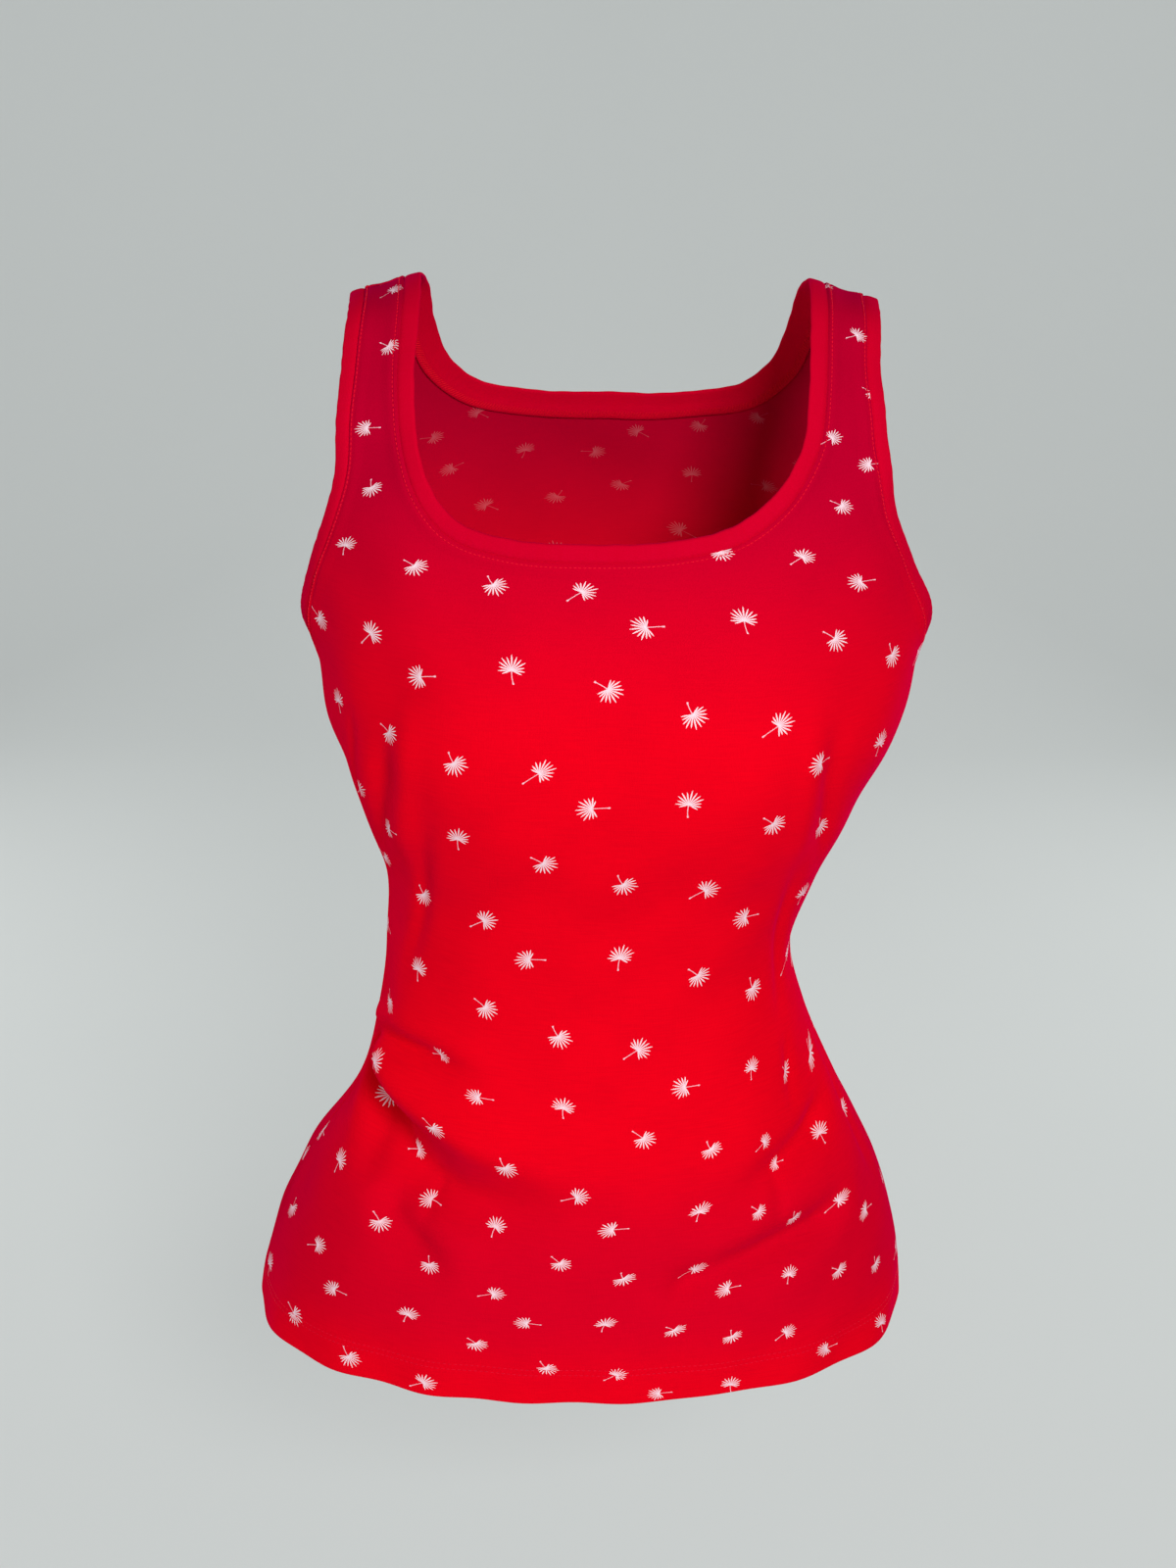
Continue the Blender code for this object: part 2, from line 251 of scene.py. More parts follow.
@dataclass(frozen=True)
class WornForm:
    """The body's form under the cloth: a rounded section at each station."""

    slope: float = 0.29  # the shoulders' fall, for each metre across
    slope_station: float = 0.50
    neck_half: float = 0.094
    bust_ease: float = 0.011
    bust_turn: tuple[float, float] = (0.47, 0.33)  # middle and spread, as shares of the width
    bust_height: tuple[float, float] = (-0.215, 0.052)
    neck_lean: float = 0.047
    lean: tuple[float, float, float] = (0.470, 0.040, 0.55)  # station, its reach, way round
    hem_tilt: float = 0.012
    tilt_station: float = 0.25
    tuck: tuple[float, float] = (0.96, 0.15)  # where the front tucks in, and how sharply

    def level(self, station: Array) -> dict[str, Array]:
        """The form's columns at any stations, by name.

        Args:
            station: Where the form is read.

        Returns:
            A value for each station, by the column's name.
        """
        table = np.array(FORM)
        return {
            name: hermite(table[:, 0], table[:, column], station)
            for column, name in enumerate(FORM_COLUMNS)
            if column
        }

    def points(self, side: Side, around: Array, station: Array) -> Array:
        """Points on the form.

        Across is the middle plus the half width times the sine of the way round, and the depth
        is the level's depth times its cosine, both raised to two over the squareness. The
        front stands out further over each side of the bust, the shoulders fall away from the
        neck, and the hem hangs lower on one side.

        Args:
            side: The front or the back.
            around: The way round, from -1 at the right side seam to 1 at the left.
            station: The length up the cloth.

        Returns:
            Points in metres, with a last axis of three.
        """
        level = self.level(station)
        if side is Side.FRONT:
            middle, reach, spread = self.lean
            fade = np.clip(1 - (around / spread) ** 2, 0, 1)
            around = around - self.neck_lean * bell(station, middle, reach) * fade
        angle = around * math.pi / 2
        power = 2 / level["squareness"]
        turn = np.sign(around) * np.abs(np.sin(angle)) ** power
        depth = level[side.name.lower()] * np.abs(np.cos(angle)) ** power
        if side is Side.FRONT:
            sides = bell(np.abs(turn), *self.bust_turn)
            depth = depth + self.bust_ease * sides * bell(level["height"], *self.bust_height)
            tuck, power = self.tuck
            depth = depth * smoothstep(1.0, tuck, np.abs(around)) ** power
        x = level["middle"] + level["half_width"] * turn
        fall = self.slope * smoothstep(self.slope_station, TOP_STATION, station)
        z = level["height"] + fall * (self.neck_half - np.abs(x - level["middle"]))
        z = z + self.hem_tilt * x * (1 - smoothstep(0.0, self.tilt_station, station))
        return np.stack([x, side.value * depth, z], axis=-1)


@dataclass(frozen=True)
class Crease:
    """A ridge or trough along a run of places: distance round from the centre, and height.

    Its section is a bell, plus a lean that lifts one flank and sinks the other.
    """

    run: Rows
    width: float
    depth: float
    lean: float = 0.0
    head: float = 0.25  # share of the run over which it rises
    tail: float = 0.45  # share of the run over which it dies away

    MARGIN = 3.2  # widths past which it pushes nothing
    PLACES = 6  # on the smooth curve, for each row of the run

    def push(self, places: Array) -> Array:
        """How far the crease pushes the cloth out at each place.

        Args:
            places: Distances round from the centre, and heights.

        Returns:
            A height out of the form for each place.
        """
        rows = np.array(self.run)
        margin = self.MARGIN * self.width
        near = np.all((places > rows.min(0) - margin) & (places < rows.max(0) + margin), axis=-1)
        made = np.zeros(places.shape[:-1])
        if near.any():
            curve = smooth_run(self.run, np.linspace(0, 1, self.PLACES * len(self.run)))
            offset, share = nearest_on_run(places[near], curve)
            across = offset / self.width
            section = (1 + self.lean * across) * np.exp(-(across**2))
            ends = smoothstep(0, self.head, share) * (1 - smoothstep(1 - self.tail, 1, share))
            made[near] = self.depth * section * ends
        return made


@dataclass(frozen=True)
class Ripple:
    """Soft unevenness of worn jersey: a sum of gentle waves in seeded directions."""

    seed: int
    depth: float = 0.00022
    waves: int = 14
    lengths: tuple[float, float] = (0.035, 0.12)

    def push(self, places: Array) -> Array:
        """How far the waves push the cloth out at places in metres.

        Args:
            places: Places on the flat cloth.

        Returns:
            A height out of the form for each place.
        """
        draw = np.random.default_rng(self.seed)
        made = np.zeros(places.shape[:-1])
        for length, turn, phase in zip(
            draw.uniform(*self.lengths, self.waves),
            draw.uniform(0, math.pi, self.waves),
            draw.uniform(0, math.tau, self.waves),
        ):
            heading = np.array([math.cos(turn), math.sin(turn)])
            made += self.depth * np.sin(math.tau * (places @ heading) / length + phase)
        return made


def creases(*rows: tuple[tuple[float, ...], ...]) -> tuple[Crease, ...]:
    """Creases from rows in millimetres.

    Args:
        rows: For each crease its width, depth, lean, head and tail, and then its run's places.

    Returns:
        The creases, in metres.
    """
    made = []
    for (width, depth, *ends), *run in rows:
        places = tuple((across / 1000, height / 1000) for across, height in run)
        made.append(Crease(places, width / 1000, depth / 1000, *ends))
    return tuple(made)


FRONT_CREASES = creases(
    ((12.5, 12, -0.2, 0.08, 0.6), (-158, -402), (-125, -411), (-85, -423), (-45, -437), (5, -456),
     (35, -475)),
    ((15, -19.5, 0.15, 0.06, 0.55), (-160, -410), (-138, -433), (-110, -453), (-70, -466),
     (-28, -475), (12, -485)),
    ((5, -8, 0.3, 0.15, 0.6), (-156, -408), (-128, -427), (-100, -440), (-65, -450)),
    ((7, -8.5, 0, 0.12, 0.6), (-158, -404), (-118, -400), (-70, -398), (-38, -406)),
    ((8, 3.4, 0, 0.2, 0.6), (-158, -400), (-115, -390), (-70, -388), (-30, -398)),
    ((9, -7, 0.4, 0.3, 0.5), (-162, -420), (-150, -440), (-134, -460), (-108, -478)),
    ((10, -8, 0.5, 0.3, 0.5), (-120, -470), (-95, -488), (-70, -503), (-50, -522)),
    ((4.5, -1.8, 0.6, 0.4, 0.5), (-84, -460), (-78, -474), (-74, -488)),
    ((10, -9, 0.5, 0.25, 0.5), (150, -432), (112, -447), (79, -458), (45, -470)),
    ((10, -9.5, 0.6, 0.25, 0.5), (150, -478), (118, -489), (85, -495), (45, -503), (10, -512)),
    ((8, -5, 0.5, 0.4, 0.5), (46, -500), (36, -512), (26, -527)),
    ((5, -1.8, 0.5, 0.4, 0.5), (90, -450), (87, -470), (85, -490)),
    ((6, -2.4, 0.5, 0.4, 0.5), (112, -388), (108, -412), (103, -436)),
    ((8, 2.6, 0, 0.35, 0.45), (-86, -180), (-94, -215), (-101, -250), (-118, -300)),
    ((8, -3.2, 0.3, 0.35, 0.45), (-106, -195), (-117, -232), (-130, -268), (-148, -305)),
    ((5, -1.5, 0, 0.4, 0.4), (-135, -195), (-144, -232), (-152, -275)),
    ((7.5, -2.6, 0, 0.4, 0.4), (-78, -225), (-93, -285), (-99, -335), (-112, -372)),
    ((8, 2.5, 0, 0.35, 0.45), (80, -180), (84, -215), (92, -258), (108, -305)),
    ((7.5, -3, 0.3, 0.35, 0.45), (92, -190), (100, -225), (112, -260), (132, -305)),
    ((7, -3, 0.3, 0.4, 0.4), (92, -262), (104, -315), (114, -365), (106, -395)),
    ((7, -2.6, 0.3, 0.4, 0.4), (158, -372), (170, -425), (184, -475), (198, -505)),
)
BACK_CREASES = creases(
    ((12, 4.8, 0.3, 0.25, 0.45), (-150, -380), (-100, -398), (-40, -406), (30, -402), (80, -392)),
    ((11, -5, 0.3, 0.25, 0.45), (-150, -398), (-100, -416), (-40, -426), (30, -424), (75, -412)),
    ((11, -3.6, 0.4, 0.25, 0.45), (160, -388), (110, -412), (50, -436), (-10, -448)),
    ((9, 2.4, 0, 0.3, 0.5), (160, -374), (110, -392), (60, -410)),
    ((8, -2.2, 0.3, 0.3, 0.5), (-150, -350), (-90, -366), (-20, -368), (50, -362)),
    ((7, -1.8, 0, 0.3, 0.5), (150, -340), (95, -352), (40, -352)),
    ((9, -2.4, 0.5, 0.3, 0.5), (-160, -430), (-110, -462), (-60, -486)),
    ((9, -2.2, 0.5, 0.3, 0.5), (165, -440), (120, -474), (70, -498)),
    ((9, -2.4, 0.3, 0.4, 0.4), (-110, -190), (-114, -240), (-122, -300)),
    ((9, -2.4, -0.3, 0.4, 0.4), (112, -185), (116, -238), (124, -300)),
    ((8, -1.4, 0, 0.4, 0.5), (-20, -300), (-26, -335), (-22, -372)),
)


def distance_from_runs(places: Array, *runs: Array) -> Array:
    """The distance from each place to the nearest of several runs."""
    return np.min([np.abs(nearest_on_run(places, run)[0]) for run in runs], axis=0)


def grid_faces(index: Array) -> Array:
    """The quads between the rows and columns of a grid of vertex numbers."""
    corners = (index[:-1, :-1], index[:-1, 1:], index[1:, 1:], index[1:, :-1])
    return np.stack([corner.ravel() for corner in corners], axis=-1)


def blended(bottom: Array, top: Array, left: Array, right: Array, across: Array, up: Array) -> Array:
    """A grid between four edges: the blend across plus the blend up, less the blend of corners.

    Args:
        bottom: Places along the low edge, one for each share across.
        top: Places along the high edge.
        left: Places up the first edge, one for each share up.
        right: Places up the last edge.
        across: Shares across the grid.
        up: Shares up the grid.

    Returns:
        Places by row and column.
    """
    across, up = across[None, :, None], up[:, None, None]
    made = (1 - up) * bottom + up * top
    made = made + (1 - across) * left[:, None] + across * right[:, None]
    corners = (1 - up) * ((1 - across) * bottom[0] + across * bottom[-1])
    return made - corners - up * ((1 - across) * top[0] + across * top[-1])


@dataclass
class Shell:
    """A mesh being put together: points, faces, each face's corner maps and its finish."""

    points: list[Array] = field(default_factory=list)
    faces: list[Array] = field(default_factory=list)
    maps: dict[str, list[Array]] = field(default_factory=dict)
    finishes: list[Array] = field(default_factory=list)
    count: int = 0

    def add_points(self, points: Array) -> Array:
        """Adds points, and returns their numbers in the same layout.

        Args:
            points: Points in any layout, with a last axis of three.

        Returns:
            A number for each point.
        """
        number = self.count + np.arange(points[..., 0].size).reshape(points.shape[:-1])
        self.points.append(points.reshape(-1, 3))
        self.count += number.size
        return number

    def add_faces(self, faces: Array, maps: dict[str, Array], finish: int = 0) -> None:
        """Adds faces with a place on each map for every corner, and one finish for all.

        Args:
            faces: Numbers of the corners, face by face.
            maps: The corners' places, by the map's name.
            finish: Which of the piece's finishes the faces take.
        """
        self.faces.append(faces)
        self.finishes.append(np.full(len(faces), finish))
        for name, corners in maps.items():
            self.maps.setdefault(name, []).append(corners.reshape(-1, 2))

    def add_tube(self, points: Array, lengths: Array, across: Array) -> None:
        """Adds a closed section carried along a run, with its faces turned outwards.

        The faces point out where the first ones' normals, each times the way from the section's
        middle, come to more than zero together.

        Args:
            points: Points by place along the run and corner of the section.
            lengths: The length along the run to each section, and to the first again where the
                run comes round. The ends of any other run are closed.
            across: The length across the cloth to each corner, and to the first again.
        """
        index = self.add_points(points)
        whole = len(lengths) > len(points)
        loop = come_round(index) if whole else index
        faces = grid_faces(np.concatenate([loop, loop[:, :1]], axis=1))
        ends = [] if whole else [index[:1, ::-1], index[-1:]]
        places = np.stack(np.meshgrid(across, lengths), axis=-1)
        number = grid_faces(np.arange(places[..., 0].size).reshape(places.shape[:2]))
        first = points[0]
        normals = np.cross(np.roll(first, -1, axis=0) - first, points[1] - first)
        if np.sum(normals * (first - first.mean(axis=0))) < 0:
            faces, number = faces[:, ::-1], number[:, ::-1]
            ends = [end[:, ::-1] for end in ends]
        self.add_faces(faces, {"cloth": places.reshape(-1, 2)[number]})
        for end in ends:
            self.add_faces(end, {"cloth": np.zeros((1, end.shape[1], 2))})

    def piece(self, name: str, materials: list[bpy.types.Material]) -> bpy.types.Object:
        """The finished piece, smooth shaded and linked to the scene.

        Args:
            name: The piece's name.
            materials: Its finishes, in the order of the faces' numbers.

        Returns:
            A mesh object at the origin.
        """
        mesh = bpy.data.meshes.new(name)
        faces = [face for block in self.faces for face in block.tolist()]
        mesh.from_pydata(np.concatenate(self.points).tolist(), [], faces)
        for title, corners in self.maps.items():
            layer = mesh.uv_layers.new(name=title)
            layer.data.foreach_set("uv", np.concatenate(corners).astype(np.float32).ravel())
        for material in materials:
            mesh.materials.append(material)
        mesh.polygons.foreach_set("material_index", np.concatenate(self.finishes))
        mesh.shade_smooth()
        made = bpy.data.objects.new(name, mesh)
        bpy.context.scene.collection.objects.link(made)
        log.info("%s: %d faces", name, len(faces))
        return made


@dataclass(frozen=True)
class SeedHead:
    """One of the print's drawings: a fan of rays on a hub, with a stem."""

    place: tuple[float, float]  # from the repeat's first drawing, in metres
    stem: float  # the way its stem points, in degrees anticlockwise from the cloth's right
    bend: float  # how the stem curves
    long_stem: float  # from 0, the shortest stem, to 1, the longest


@dataclass(frozen=True)
class HipGather:
    """How the cloth's bunching over the hips carries the print.

    From the waist down the folds take up ever more cloth: a power of the share of the way
    down from where the bunching starts, which lies higher towards the sides. One gather on
    the left, which grows up to the waist and stops there, takes it up sideways too. A
    least-squares fit gave "start", "power", "up", "aside", "pull" and the first numbers of
    "aside_across" and "pull_edge".
    """

    start: tuple[float, float] = (0.167, 4.9)  # at the centre, and for the square of the distance
    start_limits: tuple[float, float] = (0.08, 0.26)
    softness: float = 0.004
    power: tuple[float, float] = (2.12, 11.4)  # at the centre, and less for each metre across
    power_limit: float = 0.17
    up: tuple[float, float] = (0.0824, 0.037)  # at the centre, and for each metre to the left
    up_end: tuple[float, float] = (0.16, 0.34)
    bulge: float = 0.013
    bulge_across: tuple[float, float] = (-0.045, 0.05)
    bulge_up: tuple[float, float] = (0.145, 0.035)
    aside: tuple[float, float] = (0.0157, 2.31)  # to the left, and its power
    aside_across: tuple[float, float] = (-0.036, 0.09)
    pull: tuple[float, float] = (0.0438, 0.0399)  # the left gather's, to the right and down
    pull_full: float = 0.16
    pull_stop: tuple[float, float] = (0.18, 0.016)  # a station, and how softly
    pull_edge: tuple[float, float] = (0.1016, 0.013)  # a distance across, and how softly

    def drift(self, across: Array, station: Array) -> Array:
        """How far the bunching carries the print.

        Args:
            across: Distances across the flat cloth, from the centre.
            station: Stations.

        Returns:
            The change of place, for each.
        """
        centre, rise = self.start
        below = 1 - station / np.clip(centre + rise * across**2, *self.start_limits)
        below = (below + np.sqrt(below**2 + self.softness)) / 2
        centre, less = self.power
        power = centre - less * np.minimum(np.abs(across), self.power_limit)
        centre, more = self.up
        up = (centre + more * across) * below**power * (1 - smoothstep(*self.up_end, station))
        up += self.bulge * bell(across, *self.bulge_across) * bell(station, *self.bulge_up)
        height, power = self.aside
        aside = height * below**power * bell(across, *self.aside_across)
        stop, soft = self.pull_stop
        gather = np.clip(station / self.pull_full, 0, None) / (1 + np.exp((station - stop) / soft))
        edge, soft = self.pull_edge
        gather = gather / (1 + np.exp((edge - across) / soft))
        right, down = self.pull
        return np.stack([aside - right * gather, up - down * gather], axis=-1)


@dataclass(frozen=True)
class PrintRepeat:
    """A scattered print of seed heads, on a slanting lattice that drifts as the cloth gives.

    The lattice, the heads' places and the polynomials come from a least-squares fit.
    """

    start: tuple[float, float] = (-0.0154, 0.4649)
    steps: Rows = ((0.0882, -0.0728), (-0.1110, -0.0242))
    hips: HipGather = HipGather()
    gather: float = 1.0  # how much of the hips' bunching it takes
    middle: float = 0.31  # the station from which the drift's heights are counted
    span: float = 0.20
    heights: tuple[float, float] = (-1.4, 0.85)  # in spans, past which the drift grows no more
    # Polynomials in the height, lowest power first, in hundredths of a metre.
    slide: tuple[float, ...] = (0, 0, 1.044, 2.892)  # sideways
    shear: tuple[float, ...] = (0, 0.605, 0.078, 0.132)  # sideways, for each span across
    sag: tuple[float, ...] = (0, 0, 1.28, 1.738, 0.107)  # down
    tilt: float = 1.286  # up, for each span across and each span of height
    smile: float = 1.988  # down, for the square of the spans across
    strap_start: float = 0.455  # the station from which the straps hang slack
    strap_soft: float = 0.008
    strap_aside: tuple[float, float] = (0.4, 0.008)  # to the right: of the distance, and more
    strap_over: float = 0.05  # the slack over which it comes
    strap_down: tuple[float, float] = (0.55, 0.9)  # of the slack, and for each metre to the left
    heads: tuple[SeedHead, ...] = (
        SeedHead((0.0, 0.0), 214.0, -0.010, 1.0),
        SeedHead((0.0271, -0.0217), 7.0, 0.012, 0.75),
        SeedHead((0.0730, -0.0181), 264.0, -0.030, 0.2),
        SeedHead((0.1171, -0.0301), 139.0, -0.020, 0.3),
        SeedHead((0.1573, -0.0429), 127.0, 0.030, 0.0),
    )

    def lattice(self) -> Array:
        """The repeat's two steps as the columns of a matrix."""
        return np.array(self.steps).T

    def drift(self, places: Array) -> Array:
        """How far the worn cloth carries the print from its lattice.

        It is a polynomial in the place, and above the bust the straps' slack cloth adds a
        drift that grows with the height, as the soft positive part of the height over its
        start.

        Args:
            places: Places on the flat cloth.

        Returns:
            The change of place, for each.
        """
        side, station = places[..., 0], places[..., 1]
        across, up = side / self.span, np.clip((station - self.middle) / self.span, *self.heights)
        sideways = across * polyval(up, self.shear) + polyval(up, self.slide)
        upward = self.tilt * across * up - polyval(up, self.sag) - self.smile * across**2
        made = 0.01 * np.stack([sideways, upward], axis=-1)
        slack = np.log1p(np.exp((station - self.strap_start) / self.strap_soft)) * self.strap_soft
        share, more = self.strap_aside
        made[..., 0] -= (share * side + more) * (1 - np.exp(-slack / self.strap_over))
        share, more = self.strap_down
        made[..., 1] -= (share + more * side) * slack
        return made + self.gather * self.hips.drift(side, station)

    def cells(self, places: Array) -> Array:
        """Cloth places counted in repeats, from the first drawing."""
        away = places - self.drift(places) - np.array(self.start)
        return away @ np.linalg.inv(self.lattice()).T


@dataclass
class Panel:
    """The front or back: a closed shell of jersey with its hem turned up inside."""

    side: Side
    neck: Rows
    armhole: Rows
    creases: tuple[Crease, ...]
    ripple: Ripple
    flat: tuple[float, float]
    cut_area: float
    form: WornForm = field(default_factory=WornForm)
    print_repeat: PrintRepeat = field(default_factory=PrintRepeat)
    outside: float = 0.00055  # from the middle of the cloth to its right side
    inside: float = 0.00045
    hem_lift: float = 0.0009  # the turned-up cloth, inside
    turn_edge: float = 0.0006  # half the height of the step at its cut edge
    across_share: float = 0.80  # a crease's distance round, for each half width and depth
    fold_fade: float = 0.9  # the way round past which creases fade to the side seam
    round_length: float = 0.21  # of a quarter of the form, near enough
    corners: tuple[float, float] = (0.41, 0.42)  # shares of the cut edges where the strap starts
    underarm: tuple[float, float, float] = (0.4, 0.33, 0.52)  # way round, and two stations
    stand: float = 0.005  # how far the underarm stands out
    stand_at: tuple[float, float] = (0.422, 0.024)  # its station and reach
    stand_fade: float = 0.016  # in from the armhole
    hem_reach: float = 0.035  # how far up the hem waves
    # The hem's waves out: height, radians for each metre, start, and the start's change by side.
    hem_waves: Rows = ((0.0007, 118, 1.1, 2), (0.0005, 71, 0.4, 0))
    hem_sway: tuple[float, float] = (0.0004, 96)  # up and down
    # Ridges and dips beside a band: height, distance from the cut edge, and reach.
    seam_relief: Rows = (
        (0.00045, 0.0011, 0.0007),
        (-0.00090, 0.0, 0.0006),
        (0.00022, 0.0034, 0.0011),
        (-0.00020, TOPSTITCH_GAP, 0.0005),
    )
    allowance_lift: float = 0.00045
    allowance_end: tuple[float, float] = (0.0045, 0.0085)
    hem_ridge: float = 0.00012  # how far the turned-up cloth lifts the right side
    ridge_end: tuple[float, float] = (0.0205, 0.0235)
    stitch_dip: tuple[float, float] = (0.00014, 0.0007)  # depth and reach
    seam_dips: tuple[float, float] = (0.00035, 0.00030)  # at the side and shoulder seams
    seam_reach: float = 0.0011
    edge_round: tuple[float, float] = (0.0009, 0.0002)  # at the hem's fold, and at a cut edge
    print_shift: tuple[float, float] = (0.037, 0.021)  # of the back's repeat from the front's
    arcs: Array | None = None
    edges: list[Array] | None = None
    piece: bpy.types.Object | None = None

    # The shares at which the panel's columns and rows lie, closer together beside the seams.
    NECK_COLUMNS = shares_of((34, 2.8))
    STRAP_COLUMNS = shares_of((5, 0.7), (2, 1.6), (16, 3.0), (2, 1.6), (5, 0.7))
    ARM_COLUMNS = shares_of((30, 2.9), (3, 1.0))
    BODY_ROWS = shares_of((26, 1.0), (2, 1.8), (142, 2.75), (3, 1.6), (14, 0.8))
    STRAP_ROWS = shares_of((54, 2.75), (4, 1.0))
    ARC_STATIONS = np.linspace(0, TOP_STATION, 94)
    ARC_AROUND = np.linspace(-1, 1, 401)

    @property
    def name(self) -> str:
        """The CAD node that the panel stands for."""
        return f"{self.side.name.lower()}_panel"

    def flat_places(self, around: Array, station: Array) -> Array:
        """Places on the cloth laid flat: the length round from the centre, and the station.

        The length is the sum of short steps round the form, kept as a table and read between
        its four nearest entries.

        Args:
            around: Ways round, from -1 on the right to 1 on the left.
            station: Stations.

        Returns:
            Flat places, two numbers each.
        """
        if self.arcs is None:
            grid = np.meshgrid(self.ARC_AROUND, self.ARC_STATIONS)
            points = self.form.points(self.side, *grid)
            steps = np.linalg.norm(np.diff(points, axis=1), axis=-1)
            reach = np.concatenate([np.zeros((len(steps), 1)), np.cumsum(steps, axis=1)], axis=1)
            self.arcs = reach - reach[:, len(self.ARC_AROUND) // 2, None]
        rows, columns = self.arcs.shape
        row = np.clip(station / TOP_STATION, 0, 1) * (rows - 1)
        column = (np.clip(around, -1, 1) + 1) / 2 * (columns - 1)
        low_row = np.clip(row.astype(int), 0, rows - 2)
        low_column = np.clip(column.astype(int), 0, columns - 2)
        up, across = row - low_row, column - low_column
        low, high = (
            (1 - across) * self.arcs[line, low_column] + across * self.arcs[line, low_column + 1]
            for line in (low_row, low_row + 1)
        )
        return np.stack([(1 - up) * low + up * high, station], axis=-1)

    def cut_edges(self) -> list[Array]:
        """The neck and both armholes as runs on the flat cloth.

        Returns:
            The neck, and the armholes on the left and the right.
        """
        if self.edges is None:
            shares = np.linspace(0, 1, 90)
            neck = smooth_run(self.neck, shares, self.round_length)
            arm = smooth_run(self.armhole, shares, self.round_length)
            runs = [np.concatenate([neck[:0:-1] * MIRROR, neck]), arm, arm * MIRROR]
            self.edges = [self.flat_places(*run.T) for run in runs]
        return self.edges

    def surface(self, around: Array, station: Array) -> Array:
        """The middle of the cloth: the form, pushed out along its normal by creases and ripples.

        The armhole's low edge stands away at the sides, and the hem waves a little.

        Args:
            around: Ways round, from -1 on the right to 1 on the left.
            station: Stations.

        Returns:
            Points, with a last axis of three.
        """
        level = self.form.level(station)
        width = (level["half_width"] + level["front"]) * self.across_share
        places = np.stack([around * width, level["height"]], axis=-1)
        flat = self.flat_places(around, station)
        push = sum(crease.push(places) for crease in self.creases) + self.ripple.push(flat)
        hem = 1 - smoothstep(0.0, self.hem_reach, station)
        for height, turns, start, change in self.hem_waves:
            push += height * hem * np.sin(flat[..., 0] * turns + start + change * self.side.value)
        push *= 1 - smoothstep(self.fold_fade, 1.0, np.abs(around))
        points = self.form.points(self.side, around, station)
        points = points + self.form_normal(around, station) * push[..., None]
        stand = np.exp(-self.armhole_gap(around, station) / self.stand_fade)
        points[..., 0] += self.stand * bell(station, *self.stand_at) * stand * np.sign(around)
        height, turns = self.hem_sway
        points[..., 2] += height * hem * np.sin(flat[..., 0] * turns)
        return points

    def armhole_gap(self, around: Array, station: Array) -> Array:
        """The distance along the cloth to the armhole on the same side, near enough.

        Args:
            around: Ways round, from -1 on the right to 1 on the left.
            station: Stations.

        Returns:
            The distances, or 1 m away from the underarm.
        """
        edge = smooth_run(self.armhole, np.linspace(0, 1, 60), self.round_length)
        gap = np.full(np.shape(around), 1.0)
        least, low, high = self.underarm
        near = (np.abs(around) > least) & (station > low) & (station < high)
        across = (np.abs(around[near])[:, None] - edge[:, 0]) * self.round_length
        gap[near] = np.hypot(across, station[near][:, None] - edge[:, 1]).min(axis=-1)
        return gap

    def slopes(self, shape: Surface, around: Array, station: Array) -> Array:
        """Unit normals of a shape over the places, from its slopes both ways.

        Args:
            shape: The shape, as points at places.
            around: Ways round, from -1 on the right to 1 on the left.
            station: Stations.

        Returns:
            Unit vectors out of the body.
        """
        step = 2e-4
        inner = np.clip(around, -1 + step, 1 - step)
        low, high = np.maximum(station - step, 0), np.minimum(station + step, TOP_STATION)
        along = shape(inner + step, station) - shape(inner - step, station)
        up = shape(inner, high) - shape(inner, low)
        return unit(np.cross(along, up) * -self.side.value)

    def form_normal(self, around: Array, station: Array) -> Array:
        """Unit vectors out of the plain form."""
        return self.slopes(lambda a, s: self.form.points(self.side, a, s), around, station)

    def cloth(self, around: Array, station: Array) -> tuple[Array, Array]:
        """The middle of the cloth and the unit vectors out of it."""
        return self.surface(around, station), self.slopes(self.surface, around, station)

    def relief(self, flat: Array) -> tuple[Array, Array]:
        """How far the seams lift the right side, and how far the whole cloth.

        Beside a band the cloth sinks into the seam, rises in a ridge over the turned-in
        allowance, dips under the stitches and falls away past the allowance. At the hem it lies
        a little higher over the turned-up cloth, and dips under both rows of stitches.

        Args:
            flat: Places on the flat cloth.

        Returns:
            The two heights for each place.
        """
        gap = distance_from_runs(flat, *self.cut_edges())
        right = sum(height * bell(gap, at, reach) for height, at, reach in self.seam_relief)
        right = right + self.hem_ridge * (1 - smoothstep(*self.ridge_end, flat[..., 1]))
        depth, reach = self.stitch_dip
        for row in HEM_ROWS:
            right = right - depth * bell(flat[..., 1], row, reach)
        return right, self.allowance_lift * (1 - smoothstep(*self.allowance_end, gap))

    def seam_dip(self, around: Array, station: Array) -> Array:
        """How far the right side sinks at the side and shoulder seams.

        Args:
            around: Ways round, from -1 on the right to 1 on the left.
            station: Stations.

        Returns:
            A depth for each place.
        """
        reach = self.flat_places(np.ones_like(around), station)[..., 0]
        here = np.abs(self.flat_places(around, station)[..., 0])
        beside = bell(reach - here, 0.0, self.seam_reach) * (np.abs(around) > 0.9)
        side, shoulder = self.seam_dips
        return side * beside + shoulder * bell(station, TOP_STATION, self.seam_reach)

    def outer(self, around: Array, station: Array, lift: float | Array = 0.0) -> tuple[Array, Array]:
        """Points on or above the right side, and the unit vectors out of it.

        Args:
            around: Ways round, from -1 on the right to 1 on the left.
            station: Stations.
            lift: How far the points lie off the cloth.

        Returns:
            The points and the unit vectors.
        """
        points, normals = self.cloth(around, station)
        right, whole = self.relief(self.flat_places(around, station))
        reach = self.outside + right + whole - self.seam_dip(around, station) + lift
        return points + normals * np.asarray(reach)[..., None], normals

